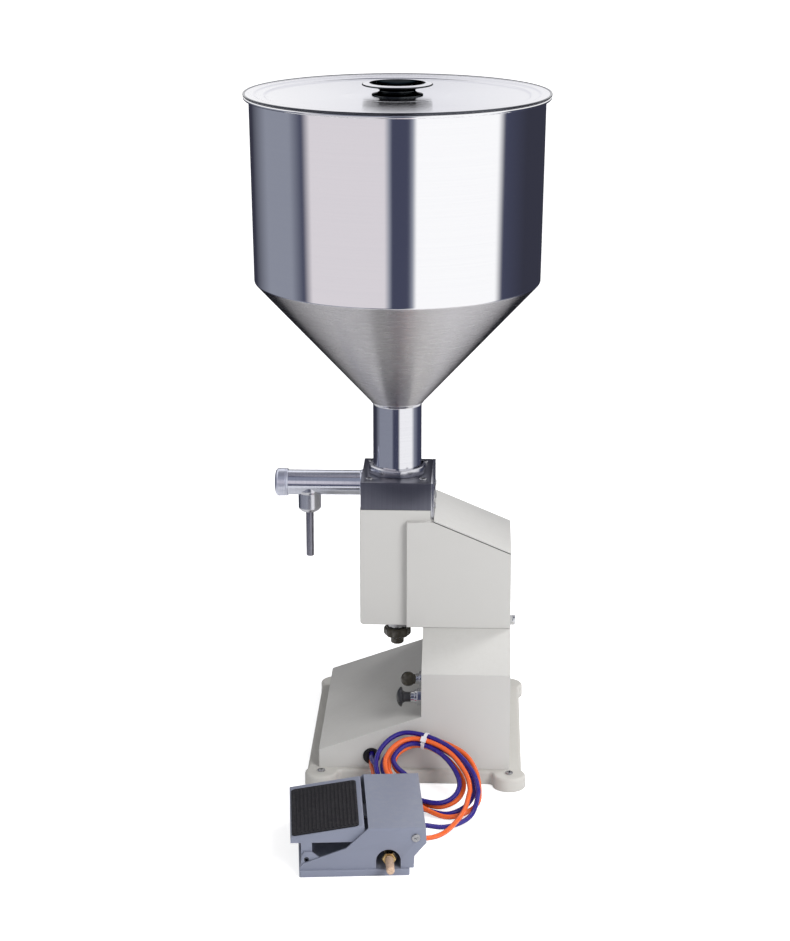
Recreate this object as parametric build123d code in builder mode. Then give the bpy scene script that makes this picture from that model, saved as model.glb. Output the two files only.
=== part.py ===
"""Pneumatic piston filler for liquids: a hopper over a valve block, a bent sheet
body, an air cylinder that drives the product piston, and a foot valve on two hoses.

Millimetres. The origin is the point of the hopper's axis at the base's underside.
X runs to the column at the back of the machine, the nozzle is at negative X,
the foot valve stands at negative Y, and Z is up.
"""

from build123d import *
import math
import os

os.makedirs("parts", exist_ok=True)

# Sheet and fits
SHEET = 1.5
RUN_GAP = 0.05

# Hopper and lid
HOPPER_R = 150.0
HOPPER_LOW_R = 147.0
HOPPER_WALL = 1.5
HOPPER_TOP = 696.0
CONE_TOP = 507.0
CONE_LOW = 378.0
RIM_R = 155.5
LID_SHEET = 1.2
LID_STEP_R = 145.0
LID_RING_R = 134.0
KNOB_R = 36.0

# Neck: two inch pipe
NECK_R = 25.4
NECK_WALL = 1.5
NUT_R = 29.8
NUT_FLAT = 28.9
NUT_HEIGHT = 8.0

# Valve block
BLOCK_LEFT = -36.6
BLOCK_RIGHT = 36.5
BLOCK_HALF = 47.0
BLOCK_TOP = 301.0
BLOCK_STEP = 272.0
BLOCK_LOW = 258.0
NECK_SEAT = 286.0
SUCTION_SEAT = 278.0
SUCTION_R = 13.0
CHAMBER_R = 18.0
END_PLATE = 3.0

# Outlet tube and nozzle
OUTLET_Z = 287.5
OUTLET_R = 13.1
OUTLET_BORE = 11.3
OUTLET_END = -119.0
CAP_LEFT = -129.0
CAP_RIGHT = -115.0
CAP_R = 14.6
NOZZLE_X = -92.7
NOZZLE_R = 4.1
NOZZLE_LOW = 206.5
SPIGOT_R = 3.7
SPIGOT = 12.0
HOLDER_R = 11.9
HOLDER_LOW = 256.5

# Product cylinder and drive
BORE_R = 20.0
CYLINDER_LOW = 206.0
PISTON_TOP = 257.0
PISTON_LENGTH = 14.0
STROKE = 36.0
ROD_R = 5.0
BAR_LOW = 188.0
BAR_HEIGHT = 12.0
AIR_X = 76.0
AIR_ROD_R = 6.0
AIR_TOP = 150.0
AIR_LOW = 62.0
AIR_CAP = 14.0

# Head and column
HEAD_LEFT = -37.4
HEAD_HALF = 48.2
HEAD_LOW = 146.0
COLUMN_LEFT = 28.9
COLUMN_RIGHT = 120.3
COVER_HALF = 55.8
COVER_LEFT = 11.5
COVER_TOP = 261.5
SLOPE_LEFT = 39.3
SLOPE_LOW = 227.3
SEAM = 0.9

# Base
SLAB_HEIGHT = 14.0
SLAB_LEFT = -89.0
SLAB_RIGHT = 133.0
SLAB_HALF = 125.0
LOBE_R = 17.0
LOBE_LEFT = -74.0
LOBE_RIGHT = 120.0
LOBE_Y = 128.0
BASE_HALF = 118.5
BASE_LEFT = -77.4
WEDGE_LOW = 33.0
WEDGE_TOP = 71.0
SHOULDER = 118.0
CONTROL_Z = 86.0
BUTTON_Y = -100.0
SPEED_Y = -49.0
GROMMET_X = -22.4
GROMMET_Z = 27.2
INLET_Z = 136.0

# Volume stop
SLEEVE_R = 7.5
SPINDLE_R = 4.0
KNOB_LOW = 109.0
KNOB_TOP = 128.0
SPINDLE_TIP = 151.5

# Foot valve, in its own frame: u along its side, v away from the viewer
PEDAL_X = -80.5
PEDAL_Y = -350.0
PEDAL_YAW = math.radians(4.9)
PEDAL_DEPTH = 136.0
PEDAL_FLOOR = 6.4
PEDAL_SHEET = 2.5
PIVOT_U = 7.0
PIVOT_Z = 16.0
PIN_R = 2.5
PLUNGER_U = 76.0
PLUNGER_V = 68.0
SILENCER_U = 85.8
SILENCER_Z = 14.0

# Hoses: 5 mm polyurethane tube
HOSE_R = 2.5
COIL_BUNDLE = 7.5
COIL_TURN = 34.5
COIL_CENTRE = (35.0, -169.2, 29.5)
COIL_TILT = 31.0
COIL_SKEW = -42.0
COIL_SPREAD = 24.0


def keep(block, label):
    """Label a finished piece and write it."""
    block.part.label = label
    export_step(block.part, f"parts/{label}.step")


def along_x(x, y, z):
    """A plane across X, whose normal points to the column."""
    return Plane(origin=(x, y, z), x_dir=(0, 1, 0), z_dir=(1, 0, 0))


def pedal_point(u, v, z):
    """A point of the foot valve's frame, in the machine's frame."""
    x = PEDAL_X + u * math.cos(PEDAL_YAW) - v * math.sin(PEDAL_YAW)
    y = PEDAL_Y + u * math.sin(PEDAL_YAW) + v * math.cos(PEDAL_YAW)
    return (x, y, z)


PEDAL_U_DIR = (math.cos(PEDAL_YAW), math.sin(PEDAL_YAW), 0)
PEDAL_V_DIR = (-math.sin(PEDAL_YAW), math.cos(PEDAL_YAW), 0)
PEDAL_TO_VIEWER = (math.sin(PEDAL_YAW), -math.cos(PEDAL_YAW), 0)


def pedal_floor(u, v, z):
    """A level plane of the foot valve."""
    return Plane(origin=pedal_point(u, v, z), x_dir=PEDAL_U_DIR, z_dir=(0, 0, 1))


def pedal_side(v):
    """The upright plane at depth v, seen from the viewer's side: a negative extrusion goes deeper."""
    return Plane(origin=pedal_point(0, v, 0), x_dir=PEDAL_U_DIR, z_dir=PEDAL_TO_VIEWER)


def pedal_end(u, v, z):
    """A plane across u, whose normal points to the hoses' end."""
    return Plane(origin=pedal_point(u, v, z), x_dir=PEDAL_V_DIR, z_dir=PEDAL_U_DIR)


def cover_line(x):
    """Height of the side covers' top edge."""
    if x <= SLOPE_LEFT:
        return COVER_TOP
    return COVER_TOP - (x - SLOPE_LEFT) * (COVER_TOP - SLOPE_LOW) / (COLUMN_RIGHT - SLOPE_LEFT)


# Hopper

with BuildPart() as hopper_shell:
    with BuildSketch(Plane.XZ):
        with BuildLine():
            Polyline(
                (NECK_R, CONE_LOW),
                (HOPPER_LOW_R - HOPPER_WALL, CONE_TOP),
                (HOPPER_R - HOPPER_WALL, HOPPER_TOP - 6),
                (HOPPER_R - HOPPER_WALL, HOPPER_TOP),
                (RIM_R - 1, HOPPER_TOP),
                (RIM_R, HOPPER_TOP - 1),
                (RIM_R, HOPPER_TOP - 3),
                (RIM_R - 1.2, HOPPER_TOP - 4),
                (RIM_R - 2.4, HOPPER_TOP - 3),
                (RIM_R - 2.4, HOPPER_TOP - HOPPER_WALL),
                (HOPPER_R + 0.6, HOPPER_TOP - HOPPER_WALL),
                (HOPPER_R, HOPPER_TOP - HOPPER_WALL - 0.6),
                (HOPPER_R, HOPPER_TOP - 6),
                (HOPPER_LOW_R, CONE_TOP - 0.6),
                (NECK_R + 2.0, CONE_LOW - 0.6),
                (NECK_R, CONE_LOW - 0.6),
                close=True,
            )
        make_face()
    revolve(axis=Axis.Z)
keep(hopper_shell, "hopper_shell")

with BuildPart() as hopper_neck:
    with BuildSketch(Plane.XY.offset(NECK_SEAT)):
        Circle(NECK_R)
        Circle(NECK_R - NECK_WALL, mode=Mode.SUBTRACT)
    extrude(amount=CONE_LOW + 1 - NECK_SEAT)
keep(hopper_neck, "hopper_neck")

with BuildPart() as neck_ring_nut:
    with BuildSketch(Plane.XY.offset(BLOCK_TOP)):
        Circle(NUT_R)
        RegularPolygon(NUT_FLAT, 8, major_radius=False, rotation=15, mode=Mode.INTERSECT)
        Circle(NECK_R, mode=Mode.SUBTRACT)
    extrude(amount=NUT_HEIGHT)
    chamfer(neck_ring_nut.faces().sort_by(Axis.Z)[-1].outer_wire().edges(), 0.8)
keep(neck_ring_nut, "neck_ring_nut")

with BuildPart() as lid:
    with BuildSketch(Plane.XZ):
        with BuildLine():
            Polyline(
                (0, HOPPER_TOP - 2.7),
                (LID_RING_R, HOPPER_TOP - 2.7),
                (LID_RING_R + 2, HOPPER_TOP - 1.2),
                (LID_STEP_R - 1, HOPPER_TOP - 1.2),
                (LID_STEP_R + 1, HOPPER_TOP),
                (RIM_R, HOPPER_TOP),
                (RIM_R + 0.5, HOPPER_TOP + 0.8),
                (RIM_R + 0.5, HOPPER_TOP + 1.8),
                (RIM_R - 0.6, HOPPER_TOP + 2.2),
                (RIM_R - 1.8, HOPPER_TOP + LID_SHEET),
                (LID_STEP_R, HOPPER_TOP + LID_SHEET),
                (LID_STEP_R - 2, HOPPER_TOP),
                (LID_RING_R + 1, HOPPER_TOP),
                (LID_RING_R - 1, HOPPER_TOP + LID_SHEET - 2.7),
                (53, HOPPER_TOP + LID_SHEET - 2.7),
                (51, HOPPER_TOP + LID_SHEET - 2.0),
                (0, HOPPER_TOP + LID_SHEET - 2.0),
                close=True,
            )
        make_face()
    revolve(axis=Axis.Z)
keep(lid, "lid")

LID_PANEL = HOPPER_TOP + LID_SHEET - 2.0
with BuildPart() as lid_knob:
    with BuildSketch(Plane.XZ):
        with BuildLine():
            Polyline(
                (0, LID_PANEL),
                (26, LID_PANEL),
                (26, LID_PANEL + 1.2),
                (19.5, LID_PANEL + 2.6),
                (17.5, LID_PANEL + 4.6),
                (20.5, LID_PANEL + 6.6),
                (28, LID_PANEL + 8.6),
                (KNOB_R, LID_PANEL + 9.8),
                (KNOB_R, LID_PANEL + 10.8),
                (29.5, LID_PANEL + 12.6),
                (27.7, LID_PANEL + 12.3),
                (22, LID_PANEL + 9.8),
                (15, LID_PANEL + 7.6),
                (9, LID_PANEL + 7.0),
                (0, LID_PANEL + 7.0),
                close=True,
            )
        make_face()
    revolve(axis=Axis.Z)
keep(lid_knob, "lid_knob")

# Valve block with its check valves

SCREW_SPOTS = [(x, y) for x in (-28.0, 28.0) for y in (-33.0, 33.0)]
PLATE_SPOTS = [(y, z) for y in (-19.0, 19.0) for z in (269.0, 283.0)]
with BuildPart() as valve_block:
    with BuildSketch(Plane.XY.offset(BLOCK_STEP)):
        with Locations(((BLOCK_LEFT + BLOCK_RIGHT) / 2, 0)):
            Rectangle(BLOCK_RIGHT - BLOCK_LEFT, 2 * BLOCK_HALF)
    extrude(amount=BLOCK_TOP - BLOCK_STEP)
    chamfer(valve_block.faces().sort_by(Axis.Z)[-1].edges(), 0.6)
    with BuildSketch(Plane.XY.offset(BLOCK_STEP)):
        with Locations(((BLOCK_LEFT + BLOCK_RIGHT + 1) / 2, 0)):
            Rectangle(BLOCK_RIGHT - BLOCK_LEFT - 1, 2 * (BLOCK_HALF - 0.6))
    extrude(amount=BLOCK_LOW - BLOCK_STEP)
    with BuildSketch(Plane.XY.offset(NECK_SEAT)):
        Circle(NECK_R)
    extrude(amount=BLOCK_TOP - NECK_SEAT, mode=Mode.SUBTRACT)
    with BuildSketch(Plane.XY.offset(SUCTION_SEAT)):
        Circle(SUCTION_R)
    extrude(amount=NECK_SEAT - SUCTION_SEAT, mode=Mode.SUBTRACT)
    with BuildSketch(Plane.XY.offset(BLOCK_LOW)):
        Circle(CHAMBER_R)
    extrude(amount=SUCTION_SEAT - BLOCK_LOW, mode=Mode.SUBTRACT)
    with BuildSketch(along_x(BLOCK_LEFT, 0, OUTLET_Z)):
        Circle(OUTLET_BORE - 0.8)
    extrude(amount=9, mode=Mode.SUBTRACT)
    with BuildSketch(Plane(origin=(-14, 0, 266), z_dir=(-19, 0, 15))):
        Circle(4.5)
    extrude(amount=24, mode=Mode.SUBTRACT)
    with BuildSketch(Plane.XY.offset(BLOCK_TOP)):
        with Locations(*SCREW_SPOTS):
            Circle(2.5)
    extrude(amount=-22, mode=Mode.SUBTRACT)
    with BuildSketch(along_x(BLOCK_RIGHT, 0, 0)):
        with Locations(*PLATE_SPOTS):
            Circle(2.0)
    extrude(amount=-10, mode=Mode.SUBTRACT)
keep(valve_block, "valve_block")

with BuildPart() as end_plate:
    with BuildSketch(along_x(BLOCK_RIGHT, 0, (BLOCK_TOP + 262.5) / 2)):
        Rectangle(2 * BLOCK_HALF, BLOCK_TOP - 262.5)
    extrude(amount=END_PLATE)
    with BuildSketch(along_x(BLOCK_RIGHT, 0, 0)):
        with Locations(*PLATE_SPOTS):
            Circle(2.2)
    extrude(amount=END_PLATE, mode=Mode.SUBTRACT)
keep(end_plate, "end_plate")

with BuildPart() as block_screws:
    with BuildSketch(Plane.XY.offset(BLOCK_TOP)):
        with Locations(*SCREW_SPOTS):
            Circle(4.2)
    extrude(amount=1.8)
    chamfer(block_screws.faces().sort_by(Axis.Z)[-4:].edges(), 0.6)
    with BuildSketch(Plane.XY.offset(BLOCK_TOP)):
        with Locations(*SCREW_SPOTS):
            Circle(2.5)
    extrude(amount=-20)
    with BuildSketch(Plane.XY.offset(BLOCK_TOP + 1.8)):
        with Locations(*SCREW_SPOTS):
            RegularPolygon(1.5, 6)
    extrude(amount=-1.4, mode=Mode.SUBTRACT)
    with BuildSketch(along_x(BLOCK_RIGHT + END_PLATE, 0, 0)):
        with Locations(*PLATE_SPOTS):
            Circle(3.4)
    extrude(amount=1.4)
    with BuildSketch(along_x(BLOCK_RIGHT + END_PLATE, 0, 0)):
        with Locations(*PLATE_SPOTS):
            Circle(2.0)
    extrude(amount=-12)
keep(block_screws, "block_screws")


def spider(plane, outer, inner, hub, bore, height):
    """A guide ring with three spokes and a bored hub, on the given plane."""
    with BuildPart() as guide:
        with BuildSketch(plane):
            Circle(outer)
            Circle(inner, mode=Mode.SUBTRACT)
            with PolarLocations(0, 3):
                with Locations((inner / 2, 0)):
                    Rectangle(inner + 1, 3)
            Circle(hub)
            Circle(bore, mode=Mode.SUBTRACT)
        extrude(amount=height)
    return guide.part


STEM_R = 3.0
SUCTION_GUIDE_TOP = NECK_SEAT + 4
POPPET_FACE = BLOCK_LEFT - 4.0
POPPET_STEM_R = 2.5
POPPET_GUIDE = -63.0
with BuildPart() as valve_guides:
    add(spider(Plane.XY.offset(NECK_SEAT), NECK_R - NECK_WALL - 0.1, 19.5, 6, STEM_R + RUN_GAP, 4))
    add(spider(along_x(POPPET_GUIDE, 0, OUTLET_Z), OUTLET_BORE - 0.05, 9, 5,
               POPPET_STEM_R + RUN_GAP, 3))
keep(valve_guides, "valve_guides")

STEM_TOP = 312.0
with BuildPart() as suction_valve:
    with BuildSketch(Plane.XZ):
        with BuildLine():
            Polyline(
                (0, SUCTION_SEAT - 5),
                (9, SUCTION_SEAT - 5),
                (16, SUCTION_SEAT - 2),
                (16, SUCTION_SEAT),
                (STEM_R + 2, SUCTION_SEAT),
                (STEM_R, SUCTION_SEAT + 2),
                (STEM_R, STEM_TOP - 3),
                (8, STEM_TOP - 3),
                (8, STEM_TOP - 1),
                (6, STEM_TOP),
                (0, STEM_TOP),
                close=True,
            )
        make_face()
    revolve(axis=Axis.Z)
keep(suction_valve, "suction_valve")

with BuildPart() as discharge_poppet:
    with BuildSketch(Plane.XZ):
        with BuildLine():
            Polyline(
                (POPPET_FACE + 2, OUTLET_Z),
                (POPPET_FACE, OUTLET_Z + 3),
                (POPPET_FACE, OUTLET_Z + 9.5),
                (POPPET_FACE - 2.8, OUTLET_Z + 9.5),
                (POPPET_FACE - 2.8, OUTLET_Z + POPPET_STEM_R),
                (POPPET_GUIDE - 3, OUTLET_Z + POPPET_STEM_R),
                (POPPET_GUIDE - 3, OUTLET_Z),
                close=True,
            )
        make_face()
    revolve(axis=Axis((0, 0, OUTLET_Z), (1, 0, 0)))
keep(discharge_poppet, "discharge_poppet")


def coil_spring(start, direction, radius, wire, length, turns):
    """A helical spring of square wire whose ends stand just clear of their seats."""
    gap = 0.15 + wire / 2
    pitch = (length - 2 * gap) / turns
    with BuildPart() as spring:
        with BuildLine() as helix:
            Helix(pitch, pitch * turns, radius, center=start + direction * gap, direction=direction)
        with BuildSketch(Plane(origin=helix.line @ 0, x_dir=direction, z_dir=helix.line % 0)):
            Rectangle(wire, wire)
        sweep(is_frenet=True)
    return spring


suction_spring = coil_spring(
    Vector(0, 0, SUCTION_GUIDE_TOP), Vector(0, 0, 1), 5.6, 1.3, STEM_TOP - 3 - SUCTION_GUIDE_TOP, 4
)
keep(suction_spring, "suction_spring")
discharge_spring = coil_spring(
    Vector(POPPET_FACE - 2.8, 0, OUTLET_Z), Vector(-1, 0, 0), 4.5, 1.2,
    POPPET_FACE - 2.8 - POPPET_GUIDE - 3, 4,
)
keep(discharge_spring, "discharge_spring")

# Outlet tube and nozzle

with BuildPart() as outlet_tube:
    with BuildSketch(Plane.XZ):
        with BuildLine():
            Polyline(
                (BLOCK_LEFT, OUTLET_Z + 7),
                (BLOCK_LEFT, OUTLET_Z + OUTLET_R),
                (OUTLET_END, OUTLET_Z + OUTLET_R),
                (OUTLET_END, OUTLET_Z + OUTLET_BORE),
                (POPPET_FACE, OUTLET_Z + OUTLET_BORE),
                (POPPET_FACE, OUTLET_Z + 7),
                close=True,
            )
        make_face()
    revolve(axis=Axis((0, 0, OUTLET_Z), (1, 0, 0)))
    with BuildSketch(Plane.XY.offset(OUTLET_Z)):
        with Locations((NOZZLE_X, 0)):
            Circle(NOZZLE_R - 1)
    extrude(amount=-OUTLET_R - 2, mode=Mode.SUBTRACT)
keep(outlet_tube, "outlet_tube")

with BuildPart() as outlet_cap:
    with BuildSketch(Plane.XZ):
        with BuildLine():
            Polyline((CAP_LEFT, OUTLET_Z), (CAP_LEFT, OUTLET_Z + 8))
            ThreePointArc((CAP_LEFT, OUTLET_Z + 8), (CAP_LEFT + 1.0, OUTLET_Z + 12),
                          (CAP_LEFT + 3.2, OUTLET_Z + CAP_R))
            Polyline(
                (CAP_LEFT + 3.2, OUTLET_Z + CAP_R),
                (CAP_RIGHT - 2, OUTLET_Z + CAP_R),
                (CAP_RIGHT - 1, OUTLET_Z + CAP_R - 0.5),
                (CAP_RIGHT, OUTLET_Z + CAP_R - 0.9),
                (CAP_RIGHT, OUTLET_Z + OUTLET_R),
                (OUTLET_END, OUTLET_Z + OUTLET_R),
                (OUTLET_END, OUTLET_Z),
                (CAP_LEFT, OUTLET_Z),
            )
        make_face()
    revolve(axis=Axis((0, 0, OUTLET_Z), (1, 0, 0)))
keep(outlet_cap, "outlet_cap")

with BuildPart() as nozzle_holder:
    with BuildSketch(Plane.XY.offset(HOLDER_LOW)):
        with Locations((NOZZLE_X, 0)):
            Circle(HOLDER_R)
    extrude(amount=OUTLET_Z - HOLDER_LOW)
    chamfer(nozzle_holder.faces().sort_by(Axis.Z)[0].edges(), 3)
    with BuildSketch(along_x(NOZZLE_X - 20, 0, OUTLET_Z)):
        Circle(OUTLET_R)
    extrude(amount=40, mode=Mode.SUBTRACT)
    with BuildSketch(Plane.XY.offset(HOLDER_LOW)):
        with Locations((NOZZLE_X, 0)):
            Circle(SPIGOT_R)
    extrude(amount=SPIGOT, mode=Mode.SUBTRACT)
    with BuildSketch(Plane.XY.offset(HOLDER_LOW)):
        with Locations((NOZZLE_X, 0)):
            Circle(NOZZLE_R - 1)
    extrude(amount=24, mode=Mode.SUBTRACT)
keep(nozzle_holder, "nozzle_holder")

with BuildPart() as nozzle:
    with BuildSketch(Plane.XY.offset(NOZZLE_LOW)):
        with Locations((NOZZLE_X, 0)):
            Circle(NOZZLE_R)
    extrude(amount=HOLDER_LOW - NOZZLE_LOW)
    chamfer(nozzle.faces().sort_by(Axis.Z)[0].edges(), 0.5)
    with BuildSketch(Plane.XY.offset(HOLDER_LOW)):
        with Locations((NOZZLE_X, 0)):
            Circle(SPIGOT_R)
    extrude(amount=SPIGOT)
    with BuildSketch(Plane.XY.offset(NOZZLE_LOW)):
        with Locations((NOZZLE_X, 0)):
            Circle(NOZZLE_R - 1)
    extrude(amount=HOLDER_LOW + SPIGOT - NOZZLE_LOW, mode=Mode.SUBTRACT)
keep(nozzle, "nozzle")

# Product cylinder, air cylinder and the bar that joins their rods

with BuildPart() as product_cylinder:
    with BuildSketch(Plane.XY.offset(CYLINDER_LOW)):
        Circle(BORE_R + 5)
    extrude(amount=BLOCK_LOW - CYLINDER_LOW)
    with BuildSketch(Plane.XY.offset(BLOCK_LOW)):
        Circle(BORE_R + 11)
    extrude(amount=-7)
    with BuildSketch(Plane.XY.offset(CYLINDER_LOW)):
        Circle(BORE_R)
    extrude(amount=BLOCK_LOW - CYLINDER_LOW, mode=Mode.SUBTRACT)
keep(product_cylinder, "product_cylinder")

PISTON_LOW = PISTON_TOP - PISTON_LENGTH
AIR_PISTON_TOP = AIR_TOP - AIR_CAP - 2
AIR_PISTON_LOW = AIR_PISTON_TOP - 12
SEAL_DEPTH = 2.8
SEAL_WIDTH = 3.0


def piston(x, low, height, grooves):
    """A piston with square seal grooves, as a turned solid."""
    with BuildPart() as turned:
        with BuildSketch(Plane.XY.offset(low)):
            with Locations((x, 0)):
                Circle(BORE_R - 0.08)
        extrude(amount=height)
        for groove in grooves:
            with BuildSketch(Plane.XY.offset(groove)):
                with Locations((x, 0)):
                    Circle(BORE_R + 1)
                    Circle(BORE_R - SEAL_DEPTH, mode=Mode.SUBTRACT)
            extrude(amount=SEAL_WIDTH, mode=Mode.SUBTRACT)
    return turned


PRODUCT_GROOVES = [PISTON_LOW + 2.5, PISTON_LOW + 8.5]
AIR_GROOVES = [AIR_PISTON_LOW + 4.5]
product_piston = piston(0, PISTON_LOW, PISTON_LENGTH, PRODUCT_GROOVES)
keep(product_piston, "product_piston")
air_piston = piston(AIR_X, AIR_PISTON_LOW, AIR_PISTON_TOP - AIR_PISTON_LOW, AIR_GROOVES)
keep(air_piston, "air_piston")

with BuildPart() as piston_seals:
    for x, groove in [(0, z) for z in PRODUCT_GROOVES] + [(AIR_X, z) for z in AIR_GROOVES]:
        with BuildSketch(Plane.XY.offset(groove)):
            with Locations((x, 0)):
                Circle(BORE_R - 0.03)
                Circle(BORE_R - SEAL_DEPTH, mode=Mode.SUBTRACT)
        extrude(amount=SEAL_WIDTH)
keep(piston_seals, "piston_seals")

with BuildPart() as piston_rod:
    with BuildSketch(Plane.XY.offset(BAR_LOW)):
        Circle(ROD_R)
    extrude(amount=PISTON_LOW - BAR_LOW)
keep(piston_rod, "piston_rod")

with BuildPart() as air_rod:
    with BuildSketch(Plane.XY.offset(AIR_PISTON_TOP)):
        with Locations((AIR_X, 0)):
            Circle(AIR_ROD_R)
    extrude(amount=BAR_LOW + BAR_HEIGHT - AIR_PISTON_TOP)
keep(air_rod, "air_rod")

with BuildPart() as crosshead:
    with BuildSketch(Plane.XY.offset(BAR_LOW)):
        with Locations((AIR_X / 2, 0)):
            SlotCenterToCenter(AIR_X, 28)
        Circle(ROD_R, mode=Mode.SUBTRACT)
        with Locations((AIR_X, 0)):
            Circle(AIR_ROD_R, mode=Mode.SUBTRACT)
    extrude(amount=BAR_HEIGHT)
    with BuildSketch(Plane.XY.offset(BAR_LOW + BAR_HEIGHT)):
        with Locations((AIR_X / 2, 0)):
            SlotCenterToCenter(22, 14)
    extrude(amount=-BAR_HEIGHT, mode=Mode.SUBTRACT)
keep(crosshead, "crosshead")

with BuildPart() as air_cylinder_tube:
    with BuildSketch(Plane.XY.offset(AIR_LOW + AIR_CAP)):
        with Locations((AIR_X, 0)):
            Circle(BORE_R + 2)
            Circle(BORE_R, mode=Mode.SUBTRACT)
    extrude(amount=AIR_TOP - AIR_LOW - 2 * AIR_CAP)
keep(air_cylinder_tube, "air_cylinder_tube")

with BuildPart() as air_cylinder_caps:
    with BuildSketch(Plane.XY.offset(AIR_TOP - AIR_CAP), Plane.XY.offset(AIR_LOW)):
        with Locations((AIR_X, 0)):
            RectangleRounded(50, 50, 5)
    extrude(amount=AIR_CAP)
    with BuildSketch(Plane.XY.offset(SLAB_HEIGHT)):
        with Locations((AIR_X, 0)):
            Circle(13)
    extrude(amount=AIR_LOW - SLAB_HEIGHT)
    with BuildSketch(Plane.XY.offset(SLAB_HEIGHT)):
        with Locations((AIR_X, 0)):
            RectangleRounded(60, 60, 6)
    extrude(amount=6)
    with BuildSketch(Plane.XY.offset(AIR_TOP)):
        with Locations((AIR_X, 0)):
            Circle(AIR_ROD_R + RUN_GAP)
    extrude(amount=-AIR_CAP, mode=Mode.SUBTRACT)
keep(air_cylinder_caps, "air_cylinder_caps")

# Volume stop under the head

with BuildPart() as spindle_bush:
    with BuildSketch(Plane.XY.offset(KNOB_TOP + 0.5)):
        Circle(SLEEVE_R + 3)
    extrude(amount=HEAD_LOW + SHEET - KNOB_TOP - 0.5)
    with BuildSketch(Plane.XY.offset(HEAD_LOW - 4)):
        RegularPolygon(15, 6)
    extrude(amount=4)
    with BuildSketch(Plane.XY.offset(KNOB_TOP)):
        Circle(SLEEVE_R + RUN_GAP)
    extrude(amount=30, mode=Mode.SUBTRACT)
keep(spindle_bush, "spindle_bush")

KNOB_GRIP_R = 14.6
with BuildPart() as volume_knob:
    with BuildSketch(Plane.XY.offset(KNOB_TOP - 11)):
        Circle(KNOB_GRIP_R)
        with PolarLocations(KNOB_GRIP_R + 2.6, 8):
            Circle(4.2, mode=Mode.SUBTRACT)
    extrude(amount=11)
    chamfer(volume_knob.faces().sort_by(Axis.Z)[-1].edges(), 0.7)
    chamfer(volume_knob.faces().sort_by(Axis.Z)[0].edges(), 0.7)
    with BuildSketch(Plane.XY.offset(KNOB_LOW)):
        Circle(7)
    extrude(amount=KNOB_TOP - 11 - KNOB_LOW)
    chamfer(volume_knob.faces().sort_by(Axis.Z)[0].edges(), 1.2)
    with BuildSketch(Plane.XY.offset(KNOB_TOP)):
        Circle(SLEEVE_R)
    extrude(amount=HEAD_LOW + SHEET + 0.3 - KNOB_TOP)
    with BuildSketch(Plane.XY.offset(HEAD_LOW + SHEET + 0.3)):
        Circle(SLEEVE_R + 2)
    extrude(amount=2)
    with BuildSketch(Plane.XY.offset(KNOB_LOW + 2)):
        Circle(SPINDLE_R + RUN_GAP)
    extrude(amount=50, mode=Mode.SUBTRACT)
keep(volume_knob, "volume_knob")

with BuildPart() as volume_spindle:
    with BuildSketch(Plane.XY.offset(KNOB_LOW + 3)):
        Circle(SPINDLE_R)
    extrude(amount=SPINDLE_TIP - KNOB_LOW - 3)
    chamfer(volume_spindle.faces().sort_by(Axis.Z)[-1].edges(), 0.6)
keep(volume_spindle, "volume_spindle")

# Head housing and its covers

HEAD_TOP_RIGHT = 36.2
with BuildPart() as head_housing:
    with BuildSketch(Plane.XZ) as head_side:
        with BuildLine():
            Polyline(
                (HEAD_LEFT, HEAD_LOW),
                (HEAD_LEFT, BLOCK_STEP),
                (HEAD_TOP_RIGHT, BLOCK_STEP),
                (HEAD_TOP_RIGHT, COVER_TOP + SEAM),
                (SLOPE_LEFT, COVER_TOP + SEAM),
                (COLUMN_RIGHT, SLOPE_LOW + SEAM),
                (COLUMN_RIGHT, HEAD_LOW),
                close=True,
            )
        make_face()
    extrude(amount=HEAD_HALF, both=True)
    fillet(head_housing.edges().filter_by(Axis.Y).sort_by(Axis.Z)[:2].sort_by(Axis.X)[:1], 4)
    fillet(head_housing.edges().filter_by(Axis.Z).sort_by(Axis.X)[:2], 1.0)
    with BuildSketch(Plane.XZ):
        with BuildLine():
            Polyline(
                (HEAD_LEFT + SHEET, HEAD_LOW + SHEET),
                (HEAD_LEFT + SHEET, BLOCK_TOP),
                (COLUMN_RIGHT - SHEET, BLOCK_TOP),
                (COLUMN_RIGHT - SHEET, HEAD_LOW + SHEET),
                close=True,
            )
        make_face()
    extrude(amount=HEAD_HALF - SHEET, both=True, mode=Mode.SUBTRACT)
    with BuildSketch(Plane.XY.offset(HEAD_LOW)):
        Circle(SLEEVE_R + 3)
        with Locations(((COLUMN_LEFT + COLUMN_RIGHT) / 2, 0)):
            Rectangle(COLUMN_RIGHT - COLUMN_LEFT - 8, 2 * HEAD_HALF - 10)
    extrude(amount=SHEET, mode=Mode.SUBTRACT)
keep(head_housing, "head_housing")

with BuildPart() as side_cover_near:
    with BuildSketch(Plane.XZ.offset(HEAD_HALF)):
        with BuildLine():
            Polyline(
                (COVER_LEFT, HEAD_LOW + 0.2),
                (COVER_LEFT, COVER_TOP),
                (SLOPE_LEFT, COVER_TOP),
                (COLUMN_RIGHT, SLOPE_LOW),
                (COLUMN_RIGHT, HEAD_LOW + 0.2),
                close=True,
            )
        make_face()
    extrude(amount=COVER_HALF - HEAD_HALF)
    fillet(side_cover_near.faces().sort_by(Axis.Y)[0].edges(), 0.8)
    with BuildSketch(Plane.XZ.offset(HEAD_HALF)):
        with BuildLine():
            Polyline(
                (COVER_LEFT, HEAD_LOW + 0.2),
                (COVER_LEFT, COVER_TOP),
                (SLOPE_LEFT, COVER_TOP),
                (COLUMN_RIGHT, SLOPE_LOW),
                (COLUMN_RIGHT, HEAD_LOW + 0.2),
                close=True,
            )
        make_face()
        offset(amount=-SHEET, kind=Kind.INTERSECTION, mode=Mode.REPLACE)
    extrude(amount=COVER_HALF - HEAD_HALF - SHEET, mode=Mode.SUBTRACT)
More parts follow.
